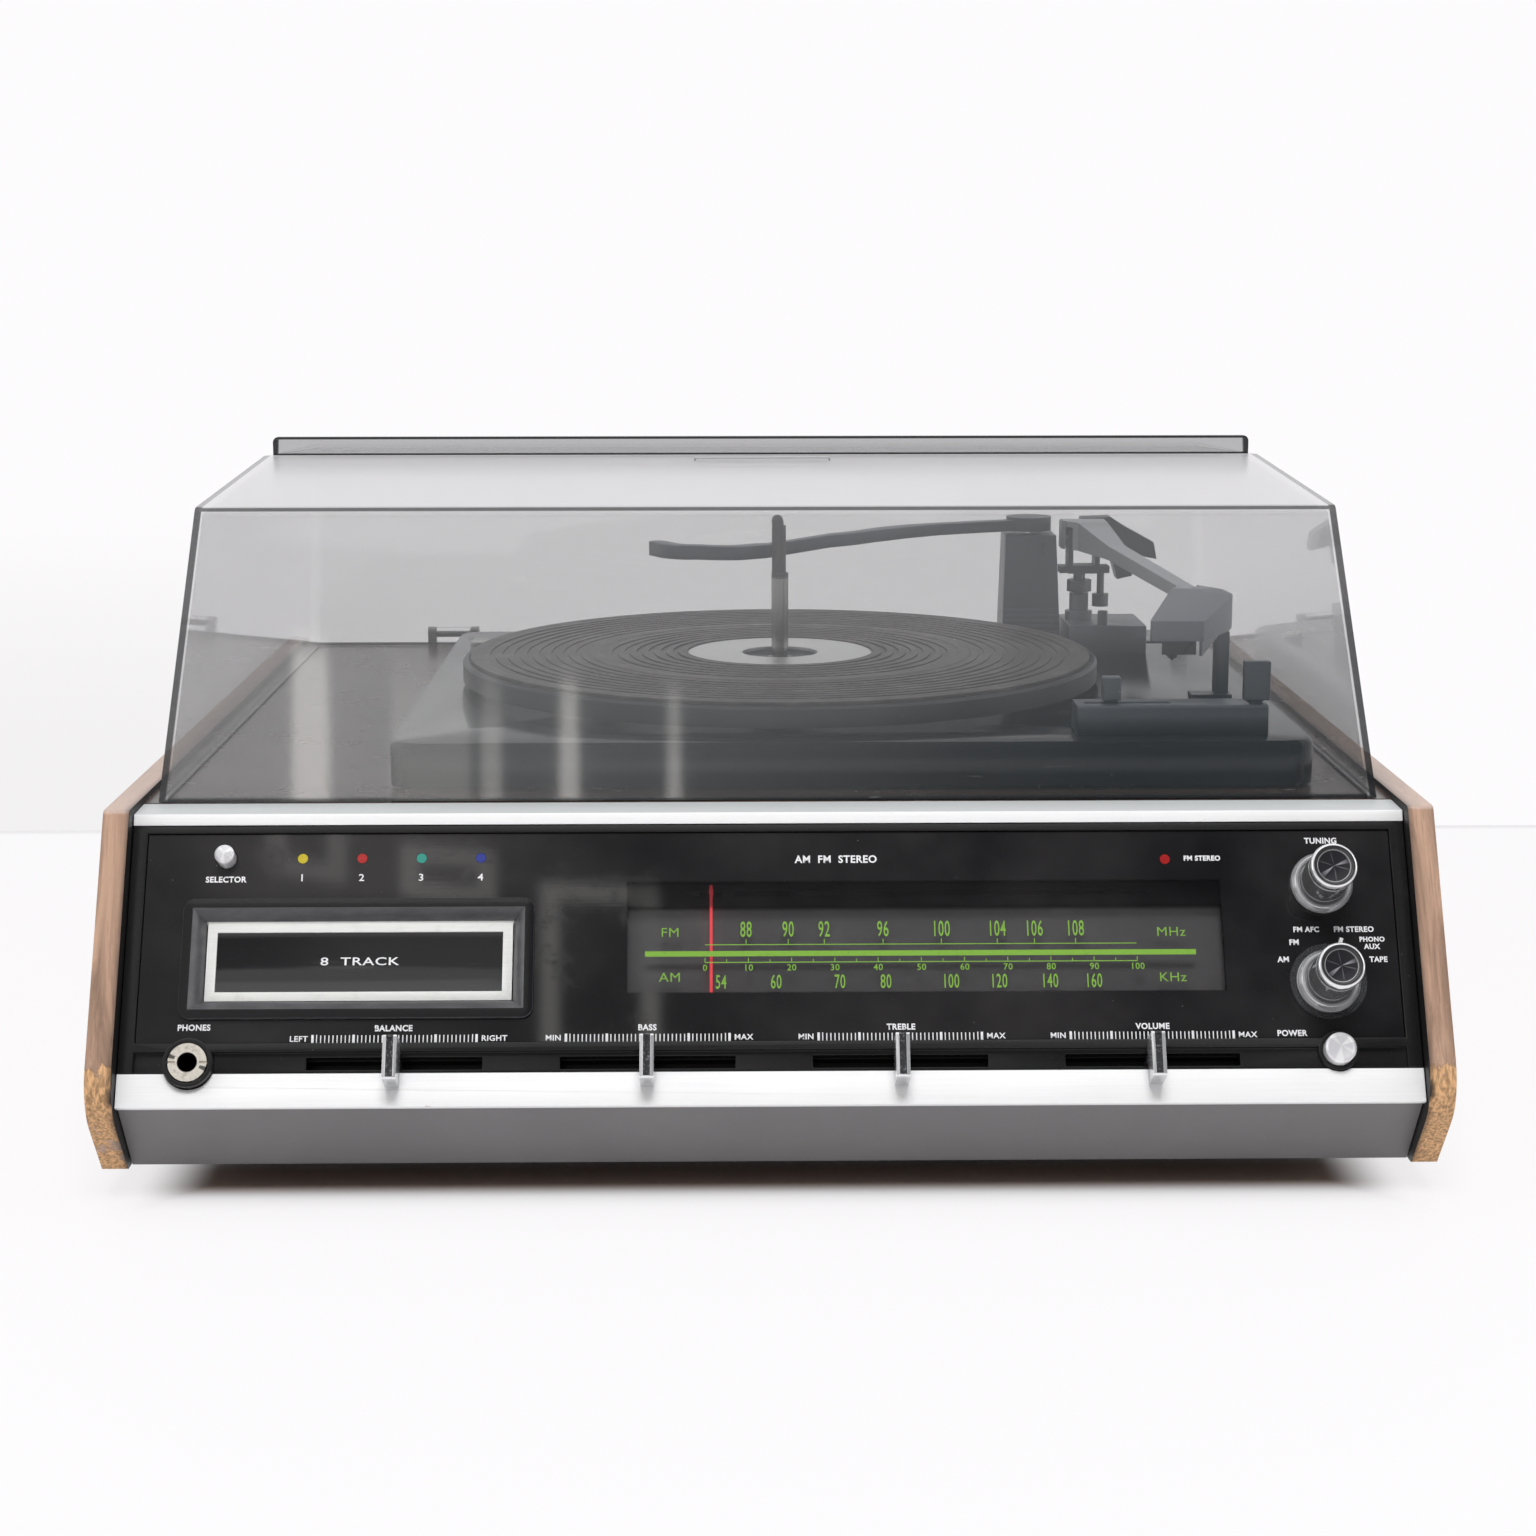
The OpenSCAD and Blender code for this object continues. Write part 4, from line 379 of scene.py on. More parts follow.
def walnut(settings):
    """Walnut film on board, painted black inside and worn bare along the lower front edge."""
    f = Finish("walnut_side")
    nx, ny, nz = f.normal()
    front = (ny + 0.35).step(0, -0.1)
    tone, bare, wear = settings.walnut, settings.chipboard, settings.wear_height

    # The grain runs with the cabinet's depth on the sides, and up the slope on the front edge
    def figure(size, length, detail, rough, warp=0):
        side = f.grain(size, detail, rough, (1, length, 1), warp)
        edge = f.grain(size * 0.6, detail, rough, (1, length, 1), warp, (f.x, f.s, f.out))
        return side + (edge - side) * front

    rings = figure(0.01, 12, 5, 0.62, 0.8)
    pores = figure(0.001, 18, 3, 0.7)
    cloud = f.grain(0.05, 2, stretch=(1, 2, 1))
    ragged = f.grain(0.007, 5, 0.65) * 0.026 - 0.013
    low = (f.z + ragged).step(wear + 0.0008, wear - 0.0008)
    corner = (f.out + ragged * 0.35).step(0.0052, 0.0062)
    left_over = f.grain(0.011, 3, 0.6).step(0.56, 0.6) * f.x.step(-0.2, -0.21)
    left_over = left_over * f.z.step(0.034, 0.03)
    worn = low * front.most(corner) * (1 - left_over)
    plies = f.grain(0.0011, 4, 0.6, (1, 16, 1), 0.2, (f.x, f.s, f.out))
    core = f.colour(shade(bare, 0.52), shade(bare, 1.25), plies.step(0.32, 0.66))
    rub = f.grain(0.003, 5, 0.7).step(0.64, 0.7) * front
    # Painted highlight: faces that point up are painted paler and greyer, for the sheen they catch
    # at a flat angle to the light
    top = nz.step(0.55, 0.85)
    inner = (nx * f.x).step(-0.02, -0.06)
    f.paint(shade(tone, 0.58), (shade(tone, 1.4), rings.step(0.3, 0.68)),
            (shade(tone, 0.42), pores.step(0.56, 0.72) * 0.5),
            (shade(tone, 1.35), cloud.step(0.45, 0.8) * 0.35), (core, worn),
            (shade(bare, 1.3), rub * 0.3), ((0.62, 0.52, 0.48), top * 0.45),
            ((0.012, 0.011, 0.011), inner), Roughness=0.36 + 0.4 * worn + 0.12 * rings)
    return f.bump(rings * 0.3 + pores * 0.7 - worn * 2, 0.00012)


def deck_film():
    """Dark woodgrain film under the cover, dusty in patches."""
    f = Finish("deck_film")
    rings = f.grain(0.01, 5, 0.6, (16, 1, 1), 0.5)
    dust = f.grain(0.02, 6, 0.7)
    f.paint((0.03, 0.018, 0.014), ((0.085, 0.048, 0.034), rings.step(0.3, 0.75)),
            ((0.22, 0.2, 0.19), dust.step(0.5, 0.85) * 0.3), Roughness=0.14 + 0.22 * dust)
    return f.bump(rings, 0.00004)


def board(name, tone, size):
    """Pressed board: flakes of several tones."""
    f = Finish(name, rough=0.75)
    flakes = f.grain(size, 4, 0.65, (1, 2.2, 1))
    f.paint(shade(tone, 0.55), (shade(tone, 1.3), flakes.step(0.3, 0.7)))
    return f.bump(flakes, 0.0002)


def moulded(name, tone, rough):
    """Moulded plastic with a fine texture, handling marks and some dust."""
    f = Finish(name)
    grime = f.grain(0.009, 6, 0.7)
    f.paint(tone, (paler(tone, 0.16), grime.step(0.52, 0.85) * 0.12),
            Roughness=rough + 0.22 * grime - 0.1)
    return f.pebble(0.0005, 0.00004)


def sheet_paint(name, tone, rough, dust=0.15):
    """Satin paint on sheet steel, with faint orange peel and dust."""
    f = Finish(name)
    haze = f.grain(0.05, 5, 0.65)
    specks = f.grain(0.0022, 4, 0.7).step(0.7, 0.76)
    f.paint(tone, (shade(tone, 1.25), haze.step(0.35, 0.8) * 0.6),
            (paler(tone, 0.25), specks * dust), Roughness=rough - 0.06 + 0.16 * haze)
    return f.pebble(0.0016, 0.00004)


def brushed(name, tone, rough, stretch=(1, 1, 1)):
    """Brushed or rolled metal: fine lines, with smears and tarnish."""
    f = Finish(name, metal=1)
    lines = f.grain(0.0004, 3, 0.6, stretch)
    smear = f.grain(0.012, 5, 0.65, (2, 1, 1))
    f.paint(shade(tone, 0.86), (tone, lines.step(0.3, 0.7)),
            (shade(tone, 0.62), smear.step(0.55, 0.85) * 0.2),
            Roughness=rough - 0.05 + 0.22 * smear)
    return f.bump(lines, 0.00002)


def strip_metal():
    """Anodised strip: satin white metal with light nicks, a darker, stained lower edge, and painted
    shade on the faces that point up.
    """
    f = Finish("strip_metal", metal=0.08)
    lines = f.grain(0.0005, 3, 0.6, (80, 1, 1))
    smear = f.grain(0.02, 5, 0.65, (3, 1, 1))
    nick = f.grain(0.0045, 5, 0.7, (2.4, 1, 1)).step(0.69, 0.73)
    nx, ny, nz = f.normal()
    foot = inside(f.s, -0.0125, -0.0096, 0.0006)
    # Painted shade: faces that point up are painted a darker grey
    f.paint((0.95, 0.95, 0.96), (grey(0.99), lines.step(0.25, 0.7)),
            ((0.84, 0.84, 0.86), smear.step(0.58, 0.86) * 0.3),
            ((0.52, 0.545, 0.55), nz.step(0.75, 0.95) * 0.8),
            ((0.36, 0.33, 0.3), nick * (0.08 + 0.7 * foot)), Roughness=0.36 + 0.2 * smear)
    return f.bump(lines, 0.00002)


def chrome(name, tone, rough):
    """Polished plating with faint wipes and pits."""
    f = Finish(name, metal=0.8)
    wipe = f.grain(0.006, 5, 0.65)
    pits = f.grain(0.0011, 4, 0.7).step(0.72, 0.78)
    f.paint(tone, (shade(tone, 0.35), pits * 0.35),
            Roughness=rough + 0.14 * wipe.step(0.45, 0.85))
    return f.bump(wipe, 0.00003)


def knob_metal(name, foot, has_disc):
    """Plated knob with a lathe-turned dark face, on which bright sectors are painted highlights.
    Its index disc, if any, is clear plastic.
    """
    f = Finish(name)
    ring, high, right, rise = f.around(foot)
    top = high.step(KNOB_HEIGHT - 0.0024, KNOB_HEIGHT - 0.0016)
    turned = top * ring.step(KNOB_FACE, KNOB_FACE - 0.0004)
    rim = top * inside(ring, KNOB_FACE, KNOB_FACE + 0.0013)
    grip = ring.step(0.0087, 0.0084) * (1 - top) * high.step(0.0015, 0.0025)
    wipe = f.grain(0.004, 5, 0.65)
    # Painted highlights: bright sectors laid on the dark turned face
    spun_with_painted_glints = f.colour((0.03, 0.03, 0.035), (0.5, 0.48, 0.52),
                    rays(right, rise, KNOB_PAINTED_GLINTS) * ring.step(KNOB_FACE * 1.15, KNOB_FACE * 0.25))
    tint = f.layers((0.88, 0.88, 0.9), (grey(0.015), rim * 0.9), (spun_with_painted_glints, turned),
                    ((0.2, 0.2, 0.205), grip * 0.85))
    metal = 0.7 - 0.4 * turned
    if has_disc:
        clear = ring.step(DISC_EDGE, DISC_EDGE + 0.0002) * high.step(0.0016, 0.0012)
        across = right * cos(INDEX_LEAN) - rise * sin(INDEX_LEAN)
        ahead = right * sin(INDEX_LEAN) + rise * cos(INDEX_LEAN)
        tick = inside(across * ring, -0.0006, 0.0006, 0.0001) * ahead.step(0, 0.5)
        tint = f.colour(tint, f.colour((0.16, 0.165, 0.17), grey(0.88), tick), clear)
        f.set(Alpha=1 - 0.88 * (clear * (1 - tick)))
        metal = metal * ring.step(DISC_EDGE + 0.0002, DISC_EDGE)
    f.paint(tint, Metallic=metal, Roughness=0.06 + 0.12 * turned + 0.05 * wipe.step(0.5, 0.85))
    return f.bump((ring * 18000).sine() * turned, 0.000003)


def button_metal(name, centre, radius):
    """Bright turned cap of a push button, whose bright sectors are painted highlights."""
    f = Finish(name, metal=0.3, rough=0.25)
    ring, high, right, rise = f.around(centre)
    wear = f.grain(0.0012, 4, 0.7)
    # Painted highlights: white sectors on the cap
    f.paint((0.78, 0.77, 0.8), (grey(1), rays(right, rise, BUTTON_PAINTED_GLINTS)),
            (grey(0.5), wear.step(0.62, 0.8) * 0.4))
    return f.bump((ring * 12000).sine() * ring.step(radius, radius - 0.0003), 0.00001)


def socket_metal(centre):
    """Headphone socket: a cream-coloured slotted nut round its hole; the hole and the slots are
    painted near-black as painted shade.
    """
    f = Finish("socket_metal")
    ring, high, right, rise = f.around(centre)
    # Painted shade: the hole and the nut's slots are painted near-black
    hole = ring.step(0.00355, 0.00335)
    slots = right * 0.94 - rise * 0.34
    slots = (slots * slots).step(0.975, 0.995) * ring.step(0.0044, 0.0046)
    wear = f.grain(0.0018, 5, 0.7)
    f.paint((0.84, 0.79, 0.7), ((0.52, 0.47, 0.4), wear.step(0.45, 0.75)),
            (grey(0.008), hole.most(slots * 0.85)),
            Metallic=0.45 - 0.45 * hole, Roughness=0.28 + 0.3 * wear)
    return f.bump(wear, 0.00004)


def rubber(name, tone=(0.035, 0.034, 0.034), rough=0.7):
    """Dull rubber with a pale bloom."""
    f = Finish(name)
    bloom = f.grain(0.012, 6, 0.7)
    f.paint(tone, (paler(tone, 0.09), bloom.step(0.42, 0.85) * 0.6),
            Roughness=rough - 0.1 + 0.2 * bloom)
    return f.pebble(0.0006, 0.00005)


def mat_rubber(centre):
    """The platter's mat: brownish black rubber with dust lying in its rings."""
    f = Finish("mat_rubber")
    moved = f.vector("SUBTRACT", f.place, tuple(centre))
    ring = f.vector("LENGTH", moved, output="Value")
    dust = f.grain(0.016, 6, 0.72)
    streak = f.grain(0.004, 5, 0.7)
    lines = (ring * 2400).sine() * 0.5 + 0.5
    f.paint((0.06, 0.054, 0.052), ((0.078, 0.068, 0.064), lines),
            ((0.27, 0.255, 0.25), dust.step(0.38, 0.85) * 0.6),
            ((0.3, 0.28, 0.27), streak.step(0.66, 0.8) * 0.3), Roughness=0.4 + 0.2 * dust)
    return f.bump(lines, 0.00003)


def gloss_face():
    """Black acrylic, clear over the dial window and finely scratched by wiping."""
    f = Finish("gloss_face")
    window = inside(f.x, -0.05, 0.157, 0.0004) * inside(f.s, 0.0278, 0.0675, 0.0004)
    upper = f.s.step(0.058, 0.0592)
    wipes = f.grain(0.0008, 4, 0.7, (26, 1, 1))
    prints = f.grain(0.014, 6, 0.72).step(0.5, 0.8)
    specks = f.grain(0.0013, 3, 0.7).step(0.735, 0.76)
    film = f.grain(0.11, 4, 0.6).step(0.35, 0.75)
    f.paint((0.005, 0.005, 0.006), ((0.034, 0.032, 0.033), film),
            ((0.34, 0.33, 0.33), specks * 0.6), Roughness=0.02 + 0.07 * prints + 0.02 * wipes,
            Alpha=1 - window * (0.82 - 0.3 * upper), IOR=1.49)
    return f.bump(wipes, 0.000001)


def dial_plate_paint():
    """Dark satin plate behind the window, slightly mottled by age. A band behind the window is
    painted paler as painted light.
    """
    f = Finish("dial_plate_paint")
    haze = f.grain(0.03, 5, 0.65)
    # Painted light: a paler band, where the mottle shows
    painted_light_band = inside(f.s, 0.027, 0.0588, 0.001)
    f.paint((0.02, 0.019, 0.02), ((0.15, 0.145, 0.15), painted_light_band),
            ((0.24, 0.235, 0.23), haze.step(0.45, 0.85) * painted_light_band * 0.6))
    return f.pebble(0.0008, 0.00003)


def frame_moulding():
    """Gloss black moulding with bright handling wear."""
    f = Finish("frame_moulding")
    marks = f.grain(0.007, 6, 0.72, (2.5, 1, 1))
    specks = f.grain(0.0016, 3, 0.7).step(0.72, 0.75)
    f.paint(grey(0.01), ((0.1, 0.095, 0.09), marks.step(0.6, 0.84) * 0.45),
            ((0.35, 0.34, 0.33), specks * 0.45), Roughness=0.16 + 0.3 * marks)
    return f.pebble(0.0007, 0.00003)


def door_face():
    """Silver door with a sunk black field."""
    f = Finish("door_face")
    low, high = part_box("tape_door")
    middle = (low.x + high.x) / 2
    field = inside(f.x, middle - 0.0495, middle + 0.0495, 0.0001)
    field = field * inside(f.s, 0.0296, 0.0508, 0.0001)
    lines = f.grain(0.0004, 3, 0.6, (50, 1, 1))
    smear = f.grain(0.01, 5, 0.65)
    wipes = f.grain(0.0007, 4, 0.7, (22, 1, 1))
    black = f.colour((0.018, 0.018, 0.019), grey(0.06), wipes.step(0.62, 0.85))
    f.paint((0.92, 0.93, 0.9), ((0.98, 0.98, 0.95), lines.step(0.3, 0.7)),
            ((0.6, 0.6, 0.57), smear.step(0.5, 0.85) * 0.5), (black, field),
            Metallic=0.15 - 0.15 * field, Roughness=0.3 - 0.24 * field + 0.1 * smear)
    return f.bump(lines, 0.00001)


def bezel_face():
    """Black moulding whose sloping inner faces are dull and painted grey as painted sheen, and
    whose rim is glossy and black.
    """
    f = Finish("bezel_face")
    nx, ny, nz = f.normal()
    # Painted sheen: faces that slope away from the front are painted grey, the flat ones near-black
    flat_without_painted_sheen = (nx * OUT.x + ny * OUT.y + nz * OUT.z).step(0.9, 0.97)
    mottle = f.grain(0.006, 5, 0.65, (2, 1, 1)).step(0.35, 0.8)
    f.paint((0.078, 0.077, 0.084), ((0.125, 0.122, 0.126), mottle),
            ((0.009, 0.009, 0.01), flat_without_painted_sheen), Roughness=0.3 - 0.14 * flat_without_painted_sheen)
    return f.pebble(0.0006, 0.00003)


def smoked_cover(settings):
    """Smoked clear plastic: it stops some light, glares at a flat angle, and is scuffed."""
    f = Finish("smoked_cover")
    long_scratch = f.grain(0.0006, 3, 0.7, (34, 9, 2)).step(0.7, 0.74)
    steep_scratch = f.grain(0.0006, 3, 0.7, (2, 6, 30)).step(0.715, 0.75)
    haze = f.grain(0.05, 6, 0.7)
    dust = f.grain(0.0016, 4, 0.72).step(0.71, 0.75)
    marks = long_scratch.most(steep_scratch).most(dust)
    # Painted shade: seen along their plastic, the pane's edges, the foot and the lip's outline look
    # nearly black, and are painted so
    low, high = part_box("dust_cover")
    lip_foot = high.z - settings.lip
    nx, ny, nz = f.normal()
    beyond = abs(f.x) - high.x + (f.z - low.z) * tan(settings.draft)
    faces_front = (-ny).step(0.3, 0.5) * f.y.step(0, -0.02)
    edge = beyond.step(-0.0026, -0.0021) * faces_front.most(nz.step(0.8, 0.9))
    fold = f.z - (lip_foot - settings.ridge_rise)
    edge = edge.most(inside(fold, -0.0014, -0.0002) * f.y.step(-0.08, -0.09))
    lip = f.z.step(lip_foot, lip_foot + 0.0004)
    lip_shade_outline = (f.z - high.z).step(-0.0012, -0.0009).most(beyond.step(-0.0058, -0.0054))
    lip_shade_outline = lip_shade_outline.most(f.z.step(lip_foot + 0.001, lip_foot + 0.0006))
    # Painted shade: the recess on the top is painted as a thin dark frame
    half, back = 0.0287, settings.recess_y
    front = back - 0.015
    box = inside(f.x, -half, half) * inside(f.y, front, back)
    hole = inside(f.x, -half + 0.0006, half - 0.0006)
    hole = hole * inside(f.y, front + 0.0025, back - 0.0025, 0.0008)
    recess = (box - hole).most(0) * nz.step(0.5, 0.8)
    rim = edge.most(lip * lip_shade_outline).most(f.z.step(low.z + 0.001, low.z + 0.0004)).most(recess)
    f.paint(settings.smoke, ((0.62, 0.63, 0.64), marks * 0.7 + haze * 0.07),
            ((0.008, 0.009, 0.011), rim), Roughness=0.04 + 0.06 * haze + 0.2 * marks,
            Alpha=(settings.density + marks * 0.14 + lip * 0.2 + rim * 0.72).least(0.94))
    f.bump(haze, 0.00006)
    # Both faces of a wall mirror alike, also from inside it, where Fresnel would shut the light in
    facing = f.node("ShaderNodeLayerWeight", {}, {"Blend": 0.5}, "Facing")
    mirror = f.tree.nodes.new("ShaderNodeBsdfPrincipled")
    mirror.inputs["Base Color"].default_value = (0.985, 0.97, 0.985, 1)
    mirror.inputs["Metallic"].default_value = 1
    f.feed(mirror.inputs["Roughness"], 0.025 + 0.33 * abs(nz).step(0.9, 0.97))
    return f.blend((0.05 + 0.95 * facing ** 5) * (1 - 0.8 * rim), mirror)


def ink(name, tone):
    """Screen-printed ink, a little uneven."""
    f = Finish(name)
    return f.paint(tone, (shade(tone, 0.72), f.grain(0.0012, 4, 0.7).step(0.5, 0.8)))


def lens(tone, *others):
    """Small jewelled lenses: the first one's tint, then where each other tint starts along x."""
    f = Finish("lamp_lenses", rough=0.12, coat=0.5)
    splits = ((other, f.x.step(start - 0.001, start + 0.001)) for start, other in others)
    depth = f.grain(0.0009, 2)
    f.paint(tone, *splits, (grey(0.02), depth.step(0.55, 0.9) * 0.4))
    return f.bump(depth, 0.00005)


def works_steel():
    """Plated steel, with the black phenolic tracks of the slide controls behind the slots."""
    f = Finish("works_steel", rough=0.4)
    track = f.out.step(-0.03, -0.026) * f.s.step(0.016, 0.014)
    lines = f.grain(0.0005, 3, 0.6, (6, 1, 1))
    f.paint((0.42, 0.43, 0.4), ((0.54, 0.55, 0.52), lines), ((0.012, 0.011, 0.01), track),
            Metallic=0.9 - 0.9 * track)
    return f.bump(lines, 0.00002)


def spindle_metal():
    """Bright below and darkened above, where the records wait."""
    low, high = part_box("spindle")
    f = Finish("spindle_metal")
    wipe = f.grain(0.004, 5, 0.65, (1, 1, 3))
    change = (high.z - low.z) * 0.62 + low.z
    upper = f.z.step(change - 0.001, change + 0.001)
    f.paint((0.34, 0.33, 0.32), ((0.1, 0.098, 0.098), upper), Metallic=1 - 0.6 * upper,
            Roughness=0.1 + 0.18 * wipe + 0.2 * upper)
    return f.bump(wipe, 0.00004)


def slider_metal(node):
    """Plated slide handle with a dark inset down its front."""
    low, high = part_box(node)
    middle = (low.x + high.x) / 2
    f = Finish(node + "_metal")
    front = max(OUT.dot(v.co - PANEL_FOOT) for v in frame["nodes"][node].data.vertices)
    inset = inside(f.x, middle - 0.00122, middle + 0.00122, 0.00008)
    inset = inset * inside(f.s, -0.004, 0.0105, 0.0001) * f.out.step(front - 0.0009, front - 0.0007)
    flank = f.out.step(front - 0.0006, front - 0.0012) * (1 - inset)
    weave = f.grain(0.0009, 3, 0.7)
    f.paint((0.9, 0.9, 0.92), ((0.42, 0.42, 0.44), flank * 0.6), ((0.03, 0.03, 0.034), inset),
            ((0.36, 0.37, 0.39), inset * weave.step(0.52, 0.72) * 0.6),
            Metallic=0.7 - 0.6 * inset, Roughness=0.14 + 0.35 * inset)
    return f.bump(weave * inset, 0.0002)


def pointer_paint():
    """Red needle with a painted glow, as if lit by the dial lamps. Its carriage above is black."""
    f = Finish("pointer_paint")
    low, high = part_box("dial_pointer")
    carriage = abs(f.x - (low.x + high.x) / 2).step(0.0006, 0.0008)
    glow = f.colour((0.75, 0.06, 0.075), grey(0), carriage)
    # Painted light: the needle glows, though it is no lamp
    return f.paint((0.86, 0.085, 0.1), (grey(0.01), carriage), Emission_Color=glow,
                   Emission_Strength=0.8)


# ---- making pieces

def soften(width, *nodes, segments=2):
    """Breaks the sharp edges of the CAD nodes' shown surfaces, so that they catch the light."""
    for name in nodes:
        thing = frame["nodes"][name]
        thing.modifiers.new("weld", "WELD").merge_threshold = 0.000002
        edge = thing.modifiers.new("edge", "BEVEL")
        edge.width = width * MM
        edge.segments = segments
        edge.limit_method = "ANGLE"
        edge.angle_limit = radians(38)
        for face in thing.data.polygons:
            face.use_smooth = True


def new_object(name, data):
    """Adds an object to the scene."""
    thing = bpy.data.objects.new(name, data)
    bpy.context.scene.collection.objects.link(thing)
    return thing


def new_mesh(name, bm, finish):
    """Turns a bmesh into an object with its finish."""
    data = bpy.data.meshes.new(name)
    bm.to_mesh(data)
    bm.free()
    data.materials.append(finish.material)
    return new_object(name, data)


def add_mesh(name, bm, body, finish):
    """Turns a bmesh into a piece that rides on a body."""
    bmesh.ops.recalc_face_normals(bm, faces=bm.faces)
    piece = new_mesh(name, bm, finish)
    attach(piece, body)


def word_mesh(bm, text, x, s, height, width, weight, align="CENTER", out=INK_OUT):
    """Adds the flat outlines of a word at a place on the panel, all in millimetres."""
    curve = bpy.data.curves.new("word", "FONT")
    curve.body = text
    curve.size = height * MM / CAPITAL
    curve.align_x = align
    curve.align_y = "CENTER"
    curve.space_character = 1.08
    curve.offset = weight * MM
    curve.resolution_u = 3
    curve.fill_mode = "FRONT"
    thing = new_object("word", curve)
    bpy.context.view_layer.update()
    shown = thing.evaluated_get(bpy.context.evaluated_depsgraph_get())
    data = bpy.data.meshes.new_from_object(shown)
    turn = Matrix((Vector((1, 0, 0)), UP, OUT)).transposed().to_4x4()
    place = Matrix.Translation(on_panel(x, s, out)) @ turn
    data.transform(place @ Matrix.Diagonal((width, 1, 1, 1)))
    bm.from_mesh(data)
    bpy.data.meshes.remove(data)
    bpy.data.objects.remove(thing)
    bpy.data.curves.remove(curve)


def bar_mesh(bm, x, s, width, height):
    """Adds a flat printed bar, centred at a place on the panel, all in millimetres."""
    bm.faces.new([bm.verts.new(on_panel(x + a * width / 2, s + b * height / 2, INK_OUT))
                  for a, b in ((-1, -1), (1, -1), (1, 1), (-1, 1))])


def tab_mesh(bm, centre, inner, outer, low, high):
    """Adds a short piece of a flat ring where the index mark points, all in metres."""
    corners = ((inner, low), (outer, low), (outer, high), (inner, high))
    rows = []
    for i in range(-4, 5):
        turn = INDEX_LEAN + INDEX_HALF * i / 4
        way = Vector((1, 0, 0)) * sin(turn) + UP * cos(turn)
        rows.append([bm.verts.new(centre + way * r + OUT * h) for r, h in corners])
    for here, there in zip(rows, rows[1:]):
        for j in range(4):
            bm.faces.new((here[j], here[j - 3], there[j - 3], there[j]))
    bm.faces.new(rows[0][::-1])
    bm.faces.new(rows[-1])


# ---- operators

